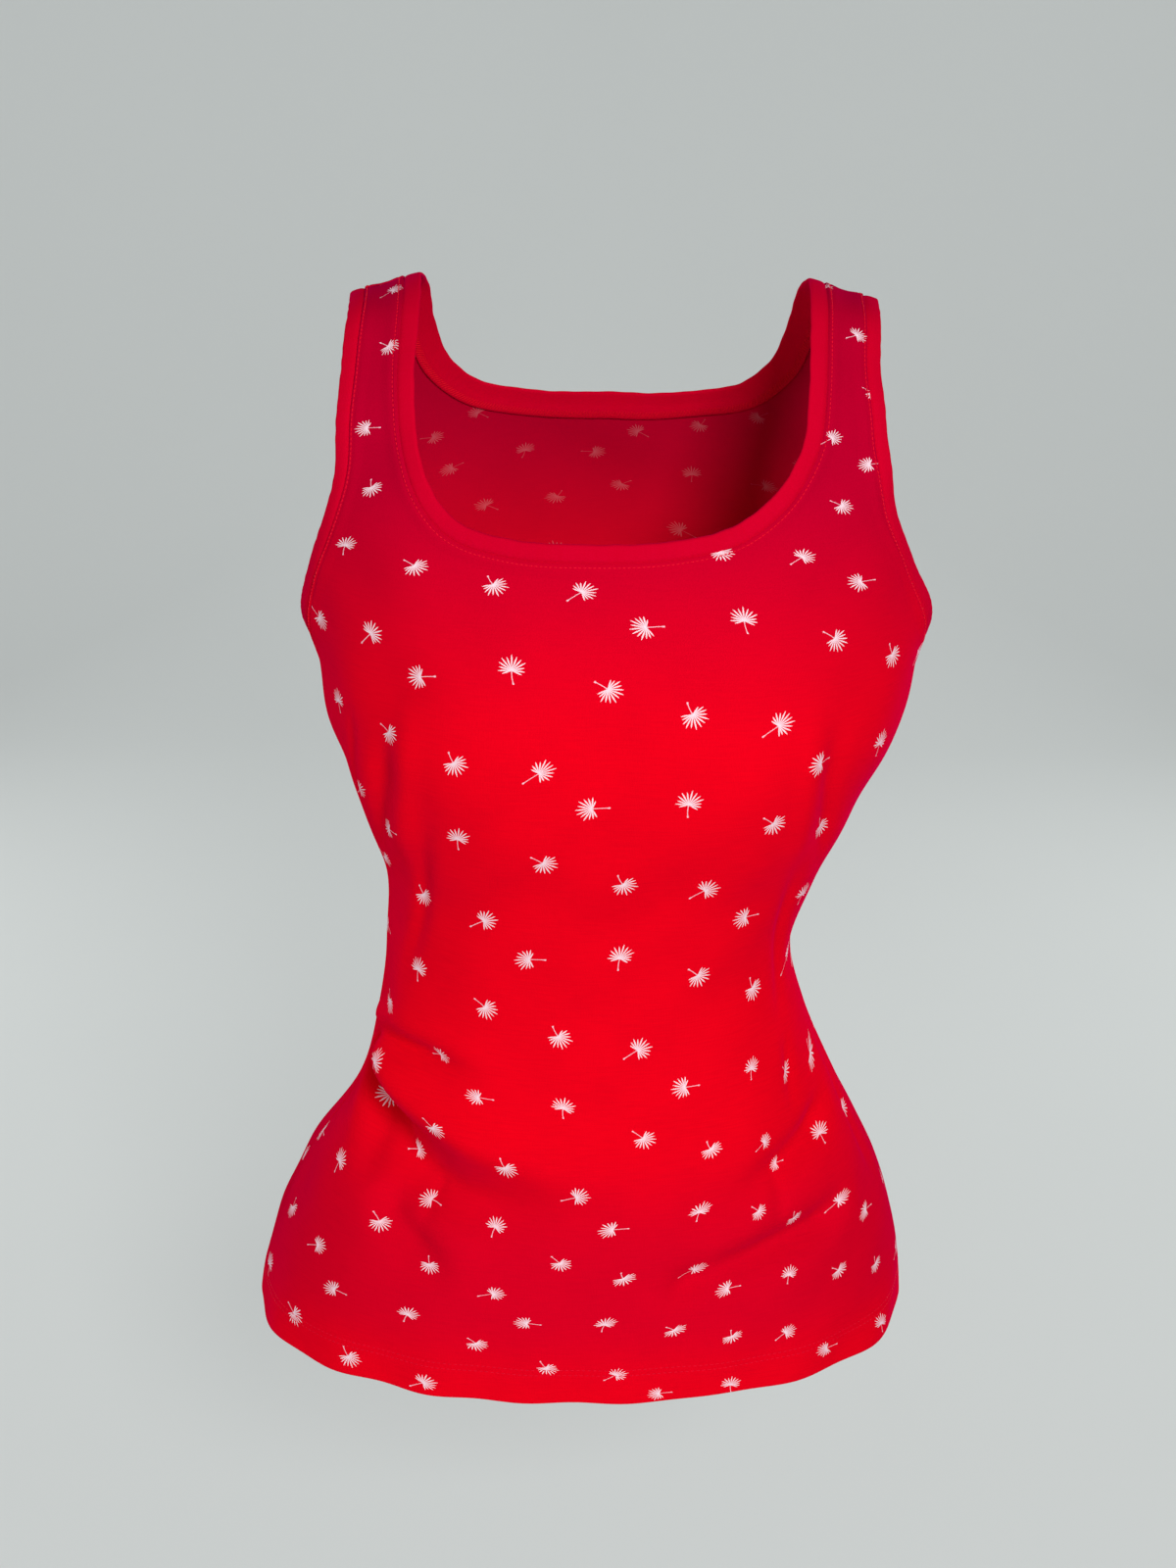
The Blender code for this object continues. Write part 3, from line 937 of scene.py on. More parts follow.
    def half_places(self) -> tuple[Array, Array]:
        """Places over half a panel: its body by row and column, then its strap.

        Returns:
            The two grids of ways round and stations.
        """
        neck_corner, arm_corner = self.corners
        at_neck, at_arm = 6 / 16, 10 / 16
        neck = smooth_run(self.neck, self.NECK_COLUMNS * neck_corner, self.round_length)
        arm = smooth_run(self.armhole, arm_corner * (1 - self.ARM_COLUMNS), self.round_length)
        bridge = neck[-1] + (arm[0] - neck[-1]) * self.STRAP_COLUMNS[:, None]
        across_strap = at_neck + self.STRAP_COLUMNS[1:] * (at_arm - at_neck)
        past_strap = at_arm + self.ARM_COLUMNS[1:] * (1 - at_arm)
        columns = np.concatenate([self.NECK_COLUMNS * at_neck, across_strap, past_strap])
        up = self.BODY_ROWS[:, None]
        top = np.concatenate([neck, bridge[1:], arm[1:]])
        hem = np.stack([columns, np.zeros_like(columns)], axis=-1)
        seam = np.array([1.0, 0.0]) * (1 - up) + arm[-1] * up
        body = blended(hem, top, neck[0] * up, seam, columns, self.BODY_ROWS)
        climb = self.STRAP_ROWS
        inner = smooth_run(self.neck, neck_corner + (1 - neck_corner) * climb, self.round_length)
        outer = smooth_run(self.armhole, arm_corner + (1 - arm_corner) * climb, self.round_length)
        shoulder = inner[-1] + (outer[-1] - inner[-1]) * self.STRAP_COLUMNS[:, None]
        return body, blended(bridge, shoulder, inner, outer, self.STRAP_COLUMNS, climb)

    def layout(self) -> tuple[Array, list[Array], Array]:
        """The panel's places, the grids of their numbers, and its outline.

        Returns:
            Every place once, then the vertex numbers of the body, the left strap and the right
            strap, then the numbers round the outline, anticlockwise from outside.
        """
        body, strap = self.half_places()
        whole = np.concatenate([body[:, :0:-1] * MIRROR, body], axis=1)
        index = np.arange(whole[..., 0].size).reshape(whole.shape[:2])
        middle, neck = index.shape[1] // 2, len(self.NECK_COLUMNS) - 1
        wide, high = len(self.STRAP_COLUMNS), len(self.STRAP_ROWS) - 1
        block = np.arange(high * wide).reshape(high, wide)
        near, far = middle + neck, middle + neck + wide
        left = np.concatenate([index[-1:, near:far], index.size + block])
        right_foot = index[-1:, 2 * middle - far + 1 : 2 * middle - near + 1]
        right = np.concatenate([right_foot, index.size + block.size + block])
        places = [whole, strap[1:], strap[1:, ::-1] * MIRROR]
        places = np.concatenate([grid.reshape(-1, 2) for grid in places])
        runs = [index[0], index[:, -1], index[-1, : far - 2 : -1]]
        runs += [left[:, -1], left[-1, ::-1], left[::-1, 0]]
        runs += [index[-1, near : 2 * middle - near - 1 : -1]]
        runs += [right[:, -1], right[-1, ::-1], right[::-1, 0]]
        runs += [index[-1, 2 * middle - far + 1 :: -1], index[::-1, 0]]
        outline = np.concatenate([run[:-1] for run in runs])
        grids = [index, left, right]
        if self.side is Side.BACK:
            return places, [grid[:, ::-1] for grid in grids], outline[::-1]
        return places, grids, outline

    def printed(self, flat: Array) -> Array:
        """Places in repeats of the print, which reads the right way round on both panels.

        Args:
            flat: Places on the flat cloth.

        Returns:
            The places counted in repeats.
        """
        if self.side is Side.BACK:
            flat = flat * MIRROR + np.array(self.print_shift)
        return self.print_repeat.cells(flat)

    def build(self, right_side: bpy.types.Material, wrong_side: bpy.types.Material) -> None:
        """Makes the shell: right side, wrong side and a rounded edge between them.

        Args:
            right_side: The finish of the side that is seen.
            wrong_side: The finish of the side against the body.
        """
        places, grids, outline = self.layout()
        around, station = places.T
        middle, normals = self.cloth(around, station)
        flat = self.flat_places(around, station)
        relief, lift = self.relief(flat)
        turned = 1 - smoothstep(HEM_TURN - self.turn_edge, HEM_TURN + self.turn_edge, station)
        high = self.outside + relief + lift - self.seam_dip(around, station)
        low = self.inside - lift + self.hem_lift * turned
        shell = Shell()
        outer = shell.add_points(middle + normals * high[:, None])
        inner = shell.add_points(middle - normals * low[:, None])
        maps = {"cloth": flat, "print": self.printed(flat)}
        hem_maps = {"cloth": flat * [1, -1], "print": self.printed(flat * [1, -1])}
        for grid in grids:
            faces = grid_faces(grid)
            shell.add_faces(outer[faces], {name: at[faces] for name, at in maps.items()})
            back = faces[:, ::-1]
            hem = station[back].max(axis=1) < HEM_TURN
            shell.add_faces(inner[back[hem]], {n: at[back[hem]] for n, at in hem_maps.items()})
            rest = back[~hem]
            shell.add_faces(inner[rest], {n: at[rest] for n, at in maps.items()}, 1)
        rim = [at[outline] for at in (middle, normals, high, low, station)]
        self.round_edge(shell, (outline, inner[outline]), rim, maps)
        self.piece = shell.piece(f"{self.name}_cloth", [right_side, wrong_side])

    def round_edge(
        self, shell: Shell, sides: tuple[Array, Array], rim: list[Array], maps: dict[str, Array]
    ) -> None:
        """Closes the shell round its outline with half an ellipse, fuller at the hem's fold.

        Args:
            shell: The shell, with its two sides in it.
            sides: The points' numbers round the right side, anticlockwise, and the wrong side.
            rim: Round the outline, the middle of the cloth, the ways out of it, how far the
                right and the wrong side lie from it, and the stations.
            maps: The places on each map.
        """
        points, normal, high, low, station = rim
        along = unit(np.roll(points, -1, axis=0) - np.roll(points, 1, axis=0))
        away = unit(np.cross(along, normal))
        centre, half = (high - low) / 2, (high + low) / 2
        reach = np.where(station < 1e-6, *self.edge_round)
        rings = [sides[0]]
        for angle in np.radians([45.0, 90.0, 135.0]):
            up = centre + half * math.cos(angle)
            out = reach * math.sin(angle)
            rings.append(shell.add_points(points + normal * up[:, None] + away * out[:, None]))
        rings.append(sides[1])
        index = come_round(np.stack(rings, axis=1)).T
        source = grid_faces(np.tile(come_round(sides[0]), (len(rings), 1)))[:, ::-1]
        shell.add_faces(grid_faces(index)[:, ::-1], {n: at[source] for n, at in maps.items()})

    def edge_places(self, opening: Opening, shares: Array) -> tuple[Array, Array]:
        """Places along a cut edge and the way into the cloth from each, as a place's change.

        Args:
            opening: The neck, read from the right shoulder to the left, or an armhole, read
                from the underarm up.
            shares: Shares of half the neck, signed, or of the armhole.

        Returns:
            The places, and for each metre into the cloth the change of place.
        """
        rows = self.neck if opening is Opening.NECK else self.armhole
        edge = smooth_run(rows, np.abs(shares), self.round_length)
        metric = np.array([self.round_length, 1.0])
        if opening is Opening.NECK:
            edge[:, 0] *= np.sign(shares)
        along = unit(np.gradient(edge * metric, axis=0))
        into = np.stack([-along[:, 1], along[:, 0]], axis=-1)
        if opening is Opening.NECK:
            into = -into
        elif opening is Opening.RIGHT_ARMHOLE:
            edge, into = edge * MIRROR, into * MIRROR
        return edge, into / metric

    def places_beside(self, opening: Opening, count: int, gap: float) -> Array:
        """Places in a row along a cut edge, a distance into the cloth and kept on the panel.

        Args:
            opening: The opening whose edge it follows.
            count: How many places.
            gap: The distance in from the edge.

        Returns:
            The places, from the right shoulder to the left, or from the underarm up.
        """
        shares = np.linspace(-1 if opening is Opening.NECK else 0, 1, count)
        edge, into = self.edge_places(opening, shares)
        around, station = (edge + gap * into).T
        return np.stack([np.clip(around, -1, 1), np.minimum(station, TOP_STATION)], axis=-1)

    def hem_line(self, station: float, lift: float, wrong: bool) -> tuple[Array, Array]:
        """A line along the hem, over one side of the cloth.

        Args:
            station: The line's station.
            lift: How far it lies off the cloth.
            wrong: Whether it lies over the wrong side.

        Returns:
            Points from the right side seam to the left, and the ways out of the cloth.
        """
        around = np.linspace(-1, 1, 700)
        level = np.full_like(around, station)
        if not wrong:
            return self.outer(around, level, lift)
        points, out = self.cloth(around, level)
        return points - out * (self.inside + self.hem_lift + lift), -out

    def declare(self, others: list[bpy.types.Object]) -> None:
        """Hangs the panel from the root body and hides the CAD node that it stands for.

        Args:
            others: The pieces that are sewn on it; not used.
        """
        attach(self.piece, "root")
        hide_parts(self.name)


@dataclass
class Ring:
    """Places round an opening, with the way on from the panels' edge and the way out."""

    points: Array
    onward: Array
    outward: Array

    EDGE_PLACES = 360  # on each panel's edge
    LOOK_IN = 0.003  # how far into the cloth the way on is read from
    SMOOTHING = (0.0016, 0.007, 0.007)  # of the points, the ways on and the ways out

    @classmethod
    def around(cls, opening: Opening, front: Panel, back: Panel, spacing: float) -> "Ring":
        """A ring of evenly spaced places on the two panels' edges.

        The front's edge is followed by the back's, reversed. The ways on and out are averaged
        along the ring, so that they turn gently across the shoulder and side seams.

        Args:
            opening: The opening.
            front: The front panel.
            back: The back panel.
            spacing: The length from one place to the next, nearly.

        Returns:
            The ring.
        """
        points, onward, outward = [], [], []
        for panel, order in ((front, slice(None, -1)), (back, slice(None, 0, -1))):
            edge, inner = (
                panel.places_beside(opening, cls.EDGE_PLACES, gap)[order] for gap in (0.0, cls.LOOK_IN)
            )
            here, normal = panel.cloth(*edge.T)
            points.append(here)
            onward.append(unit(here - panel.surface(*inner.T)))
            outward.append(normal)
        runs = [come_round(np.concatenate(parts)) for parts in (points, onward, outward)]
        reach = lengths_along(runs[0])
        count = round(reach[-1] / spacing)
        at = np.linspace(0, reach[-1], count, endpoint=False)
        points, onward, outward = (
            cls.averaged(read_along(at, reach, run), smoothing / (reach[-1] / count))
            for run, smoothing in zip(runs, cls.SMOOTHING)
        )
        along = unit(np.roll(points, -1, axis=0) - np.roll(points, 1, axis=0))
        onward = square_to(onward, along)
        return cls(points, onward, square_to(outward, along, onward))

    @staticmethod
    def averaged(values: Array, reach: float) -> Array:
        """Values averaged along a closed ring with bell-shaped weights.

        Args:
            values: A row of values for each place.
            reach: The bell's reach, in places.

        Returns:
            Values in the same layout.
        """
        count = len(values)
        away = np.minimum(np.arange(count), count - np.arange(count))
        weights = np.fft.rfft(bell(away, 0.0, max(reach, 0.01)))
        total = np.fft.irfft(np.fft.rfft(values, axis=0) * weights[:, None], count, axis=0)
        return total / weights[0].real

    def lengths(self) -> Array:
        """The length along the ring to each place, and to the first again."""
        return lengths_along(come_round(self.points))


@dataclass
class Band:
    """A strip of jersey folded in two round an opening, with both edges sewn in."""

    opening: Opening
    width: float
    cut_width: float
    cut_length: float
    seed: int
    strip: float = 0.0005
    spacing: float = 0.0017
    # The strip's middle line: the way on from the seam, then the way out. "width" is added to
    # the way on of the rows that are marked with a 1.
    path: Rows = (
        (-0.0065, -0.00185, 0), (-0.0040, -0.00180, 0), (-0.0016, -0.00165, 0),
        (0.0002, -0.00125, 0), (0.0022, -0.00095, 0), (0.0045, -0.00088, 0),
        (-0.0024, -0.00080, 1), (-0.0009, -0.00062, 1), (-0.0003, 0.00000, 1),
        (-0.0009, 0.00062, 1), (-0.0024, 0.00086, 1), (0.0045, 0.00092, 0),
        (0.0024, 0.00086, 0), (0.0010, 0.00058, 0), (0.0002, 0.00002, 0),
        (-0.0006, -0.00062, 0), (-0.0018, -0.00100, 0), (-0.0040, -0.00112, 0),
        (-0.0062, -0.00112, 0),
    )
    stops: tuple[int, ...] = (0, 6, 10, 14, 18)  # the path's rows between which it is read
    steps: tuple[int, ...] = (8, 10, 7, 6)  # how many times between each two
    wave_counts: tuple[int, ...] = (9, 17, 31, 48, 63)  # round the opening
    fuller: tuple[float, float] = (0.010, 0.022)  # a wave's least and most, of the fullness
    wider: tuple[float, float] = (0.0048, 0.0120)  # and of the width
    overlock_at: tuple[float, float] = (0.0040, 0.00215)  # back from the seam, and inside
    ring: Ring | None = None
    piece: bpy.types.Object | None = None

    @property
    def name(self) -> str:
        """The CAD node that the band stands for."""
        return f"{self.opening.value}_band"

    def section(self) -> tuple[Array, Array]:
        """The strip's closed section and how far along the strip each corner lies.

        The middle line is a smooth curve through the rows, and each side lies half a strip's
        thickness off it, square to its run.

        Returns:
            The corners, as ways on and out, and the lengths.
        """
        rows = np.array(self.path)
        line = np.stack([rows[:, 0] + self.width * rows[:, 2], rows[:, 1]], axis=-1)
        keys = lengths_along(line)
        spans = zip(self.stops[:-1], self.stops[1:], self.steps)
        at = [np.linspace(keys[a], keys[b], count, endpoint=False) for a, b, count in spans]
        at = np.concatenate([*at, keys[-1:]])
        curve = np.stack([hermite(keys, column, at) for column in line.T], axis=-1)
        run = unit(np.gradient(curve, axis=0))
        off = np.stack([-run[:, 1], run[:, 0]], axis=-1) * self.strip / 2
        first, last = run[[0, -1]] * self.strip / 2
        section = [curve + off, curve[-1:] + last, (curve - off)[::-1], curve[:1] - first]
        reach = [at, at[-1:], at[::-1], at[:1]]
        return np.concatenate(section), np.concatenate(reach)

    def build(self, front: Panel, back: Panel, material: bpy.types.Material) -> None:
        """Carries the section round the opening, a little fuller in some places than others.

        Args:
            front: The front panel.
            back: The back panel.
            material: The strip's finish.
        """
        self.ring = ring = Ring.around(self.opening, front, back, self.spacing)
        section, reach = self.section()
        lengths = ring.lengths()
        draw = np.random.default_rng(self.seed)
        turn = lengths[:-1] / lengths[-1] * math.tau
        fuller, wider = np.zeros_like(turn), np.zeros_like(turn)
        for waves in self.wave_counts:
            for made, limits in ((fuller, self.fuller), (wider, self.wider)):
                made += draw.uniform(*limits) * np.sin(waves * turn + draw.uniform(0, math.tau))
        on, out = section.T
        out = out * (1 + fuller[:, None] * (on > 0.001))
        on = on * (1 + wider[:, None] * (on > 0))
        points = ring.points[:, None] + ring.onward[:, None] * on[..., None]
        points = points + ring.outward[:, None] * out[..., None]
        shell = Shell()
        shell.add_tube(points, lengths, come_round(reach))
        self.piece = shell.piece(f"{self.name}_cloth", [material])

    def overlock(self, material: bpy.types.Material) -> bpy.types.Object:
        """Sews slanting thread over the trimmed edges, inside.

        Args:
            material: The thread's finish.

        Returns:
            The finished piece.
        """
        thread = Thread(f"{self.name}_overlocking", 0.0046, 0.0005, 0.0005, 0.0016, 62.0)
        back, inside = self.overlock_at
        run = self.ring.points - self.ring.onward * back - self.ring.outward * inside
        return thread.sew(run, -self.ring.outward).finish(material)

    def declare(self) -> None:
        """Hangs the band from the root body and hides the CAD node that it stands for."""
        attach(self.piece, "root")
        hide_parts(self.name)


@dataclass
class Thread:
    """Rows of stitches, each a grain-shaped bead of thread, joined in one piece."""

    name: str
    length: float = 0.0023
    width: float = 0.0005
    height: float = 0.0004
    pitch: float = 0.0030
    slant: float = 0.0  # degrees across the row
    crossed: bool = False  # whether each stitch slants the other way from the last
    shell: Shell = field(default_factory=Shell)

    LONG = np.array([-1.0, -0.72, 0.0, 0.72, 1.0])
    FULL = np.array([0.22, 0.80, 1.0, 0.80, 0.22])
    SIDES = 6
    LOOK = 0.0008  # how far ahead and behind a stitch's direction is read
    SINK = 0.35  # how far its ends go down, in heights

    def sew(self, run: Array, outward: Array, closed: bool = True) -> "Thread":
        """Adds a row of stitches along a run.

        Args:
            run: Close points along the row.
            outward: The way out of the cloth at each.
            closed: Whether the row comes round to its start.

        Returns:
            The same thread.
        """
        if closed:
            run, outward = come_round(run), come_round(outward)
        reach = lengths_along(run)
        count = max(2, round(reach[-1] / self.pitch))
        at = (np.arange(count) + 0.5) / count * reach[-1]
        place, out, ahead, behind = (
            read_along(at + look, reach, values)
            for look, values in ((0, run), (0, outward), (self.LOOK, run), (-self.LOOK, run))
        )
        along = unit(ahead - behind)
        out = square_to(out, along)
        across = np.cross(out, along)
        other = self.crossed * (np.arange(count) % 2)
        turn = math.radians(self.slant) * (1 - 2 * other)[:, None]
        along, across = (
            along * np.cos(turn) + across * np.sin(turn),
            across * np.cos(turn) - along * np.sin(turn),
        )
        angle = np.arange(self.SIDES) / self.SIDES * math.tau
        grain_along = np.repeat(self.LONG[:, None], self.SIDES, axis=1) * self.length / 2
        grain_across = self.FULL[:, None] * np.cos(angle) * self.width / 2
        grain_out = self.FULL[:, None] * np.sin(angle) * self.height / 2
        grain_out = grain_out - self.LONG[:, None] ** 2 * self.height * self.SINK
        points = (
            place[:, None, None]
            + along[:, None, None] * grain_along[..., None]
            + across[:, None, None] * grain_across[..., None]
            + out[:, None, None] * grain_out[..., None]
        )
        index = self.shell.add_points(points)
        index = np.concatenate([index, index[..., :1]], axis=-1)
        corners = (index[:, :-1, :-1], index[:, 1:, :-1], index[:, 1:, 1:], index[:, :-1, 1:])
        sides = np.stack([corner.ravel() for corner in corners], axis=-1)[:, ::-1]
        self.shell.add_faces(sides, {"cloth": np.zeros((len(sides), 4, 2))})
        for ring in (index[:, 0, :-1][:, ::-1], index[:, -1, :-1]):
            self.shell.add_faces(ring, {"cloth": np.zeros((len(ring), self.SIDES, 2))})
        return self

    def finish(self, material: bpy.types.Material) -> bpy.types.Object:
        """The rows as one piece that rides on the top.

        Args:
            material: The thread's finish.

        Returns:
            The finished piece.
        """
        piece = self.shell.piece(self.name, [material])
        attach(piece, "root")
        return piece


@dataclass
class Seam:
    """A seam's two cut edges, trimmed together, overlocked and pressed against the back.

    It runs straight between two places on the cloth, "into" is the change of place for each
    metre in from it, and the strip's section lies across it: flat beside the cloth, rounded at
    the trimmed edge.
    """

    name: str
    panel: Panel
    start: tuple[float, float]
    end: tuple[float, float]
    into: tuple[float, float]
    count: int
    across: tuple[float, ...] = (0.0, 0.0010, 0.0025, 0.0040, 0.0055, 0.0063)
    reach: float = 0.0065  # in to the trimmed edge
    near: float = 0.00050  # from the middle of the cloth to the strip
    thick: float = 0.0011
    pressed: float = 0.0002  # how much thinner it is at the seam itself
    unevenness: float = 0.0003
    waves: Rows = ((0.10, 61, 0), (0.07, 143, 1))  # share, radians over the seam, and start
    stitches: tuple[float, float] = (0.0040, 0.0017)  # in from the seam, and off the cloth

    def places(self, share: Array, distance: Array) -> Array:
        """The ways round and stations at shares of the seam and distances in from it."""
        start, end, into = (np.array(at)[:, None] for at in (self.start, self.end, self.into))
        return start + share.ravel() * (end - start) + distance.ravel() * into

    def build(self, material: bpy.types.Material) -> bpy.types.Object:
        """Carries the flat closed section along the seam.

        Args:
            material: The finish.

        Returns:
            The finished piece.
        """
        far = self.near + self.thick
        section = [(d, self.near) for d in self.across] + [(self.reach, (self.near + far) / 2)]
        section += [(d, far - self.pressed * (d == 0)) for d in self.across[::-1]]
        rows = np.array(section)
        share, distance = np.meshgrid(np.linspace(0, 1, self.count), rows[:, 0], indexing="ij")
        middle, normal = self.panel.cloth(*self.places(share, distance))
        wave = sum(part * np.sin(share * turns + start) for part, turns, start in self.waves)
        lift = rows[:, 1] + (rows[:, 1] > 0.001) * self.unevenness * wave
        points = (middle - normal * lift.reshape(-1, 1)).reshape(*share.shape, 3)
        across = lengths_along(rows)
        shell = Shell()
        shell.add_tube(points, lengths_along(points[:, 0]), [*across, across[-1] + self.thick])
        piece = shell.piece(f"{self.name}_allowance", [material])
        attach(piece, "root")
        return piece

    def overlock(self, material: bpy.types.Material) -> bpy.types.Object:
        """Sews slanting thread over the trimmed edges.

        Args:
            material: The thread's finish.

        Returns:
            The finished piece.
        """
        thread = Thread(f"{self.name}_overlocking", 0.0048, 0.0005, 0.0005, 0.0017, 60.0)
        distance, lift = self.stitches
        share = np.linspace(0.004, 0.996, 4 * self.count)
        points, out = self.panel.cloth(*self.places(share, np.full_like(share, distance)))
        return thread.sew(points - out * lift, -out, closed=False).finish(material)


class Shade:
    """A value in a material's nodes. Arithmetic on it adds Math nodes."""

    def __init__(self, tree: bpy.types.NodeTree, socket: bpy.types.NodeSocket) -> None:
        """Wraps an output socket of a node in the tree."""
        self.tree, self.socket = tree, socket

    @classmethod
    def node(
        cls,
        tree: bpy.types.NodeTree,
        kind: str,
        settings: dict | None = None,
        values: dict | None = None,
        output: int | str = 0,
    ) -> "Shade":
        """Adds any node.

        Args:
            tree: The material's nodes.
            kind: The node's type, without its first word.
            settings: Its settings, which are set first.
            values: A value or a Shade for each socket, by name or number.
            output: The socket that is returned.

        Returns:
            The node's output.
        """
        made = tree.nodes.new("ShaderNode" + kind)
        for key, value in (settings or {}).items():
            setattr(made, key, value)
        cls.feed(tree, made, values or {})
        return cls(tree, made.outputs[output])

    @staticmethod
    def feed(tree: bpy.types.NodeTree, node: bpy.types.Node, values: dict) -> None:
        """Sets a node's sockets, or links them.

        Args:
            tree: The material's nodes.
            node: The node.
            values: A value or a Shade for each socket, by name or number.
        """
        for key, value in values.items():
            if isinstance(value, Shade):
                tree.links.new(value.socket, node.inputs[key])
            else:
                node.inputs[key].default_value = value

    def math(self, operation: str, *others: "Shade | float") -> "Shade":
        """A Math node on this value and others."""
        values = dict(enumerate((self, *others)))
        return Shade.node(self.tree, "Math", {"operation": operation}, values)

    def turned(self, operation: str, other: float) -> "Shade":
        """A Math node with this value second."""
        return Shade.node(self.tree, "Math", {"operation": operation}, {0: other, 1: self})

    def __add__(self, other: "Shade | float") -> "Shade":
        """The sum."""
        return self.math("ADD", other)

    __radd__ = __add__

    def __mul__(self, other: "Shade | float") -> "Shade":
        """The product."""
        return self.math("MULTIPLY", other)

    __rmul__ = __mul__

    def __sub__(self, other: "Shade | float") -> "Shade":
        """The difference."""
        return self.math("SUBTRACT", other)

    def __rsub__(self, other: float) -> "Shade":
        """The difference, with this value taken away."""
        return self.turned("SUBTRACT", other)

    def __truediv__(self, other: "Shade | float") -> "Shade":
        """The quotient."""
        return self.math("DIVIDE", other)

    def between(self, low: "Shade | float", high: "Shade | float") -> "Shade":
        """The value kept between two others."""
        return self.math("MAXIMUM", low).math("MINIMUM", high)

    def rise(self, low: float, high: float) -> "Shade":
        """An S-shaped rise from 0 at low to 1 at high."""
        settings = {"interpolation_type": "SMOOTHSTEP"}
        return Shade.node(self.tree, "MapRange", settings, {0: self, 1: low, 2: high})

    def mixed(self, kind: str, first: "Shade | tuple", second: "Shade | tuple") -> "Shade":
        """A Mix of two colours or vectors, with this value as the share of the second.

        Args:
            kind: RGBA for colours or VECTOR for vectors.
            first: What is shown where the value is 0.
            second: What is shown where it is 1.

        Returns:
            The mixed colour or vector.
        """
        a, b, output = {"RGBA": (6, 7, 2), "VECTOR": (4, 5, 1)}[kind]
        settings = {"data_type": kind}
        return Shade.node(self.tree, "Mix", settings, {0: self, a: first, b: second}, output)

    def vector_math(self, operation: str, other: "Shade | tuple", output: int = 0) -> "Shade":
        """A Vector Math node on this vector and another."""
        settings = {"operation": operation}
        return Shade.node(self.tree, "VectorMath", settings, {0: self, 1: other}, output)

    def parts(self) -> list["Shade"]:
        """The three parts of a vector."""
        split = Shade.node(self.tree, "SeparateXYZ", {}, {0: self}).socket.node
        return [Shade(self.tree, part) for part in split.outputs]


def opaque(colour: Colour) -> tuple[float, float, float, float]:
    """A colour with full cover."""
    return (*colour, 1.0)


def new_material(name: str) -> tuple[bpy.types.Material, bpy.types.NodeTree, bpy.types.Node]:
    """A new material, its nodes and its main shader.

    Args:
        name: The material's name.

    Returns:
        The three of them.
    """
    material = bpy.data.materials.new(name)
    material.use_nodes = True
    return material, material.node_tree, material.node_tree.nodes["Principled BSDF"]


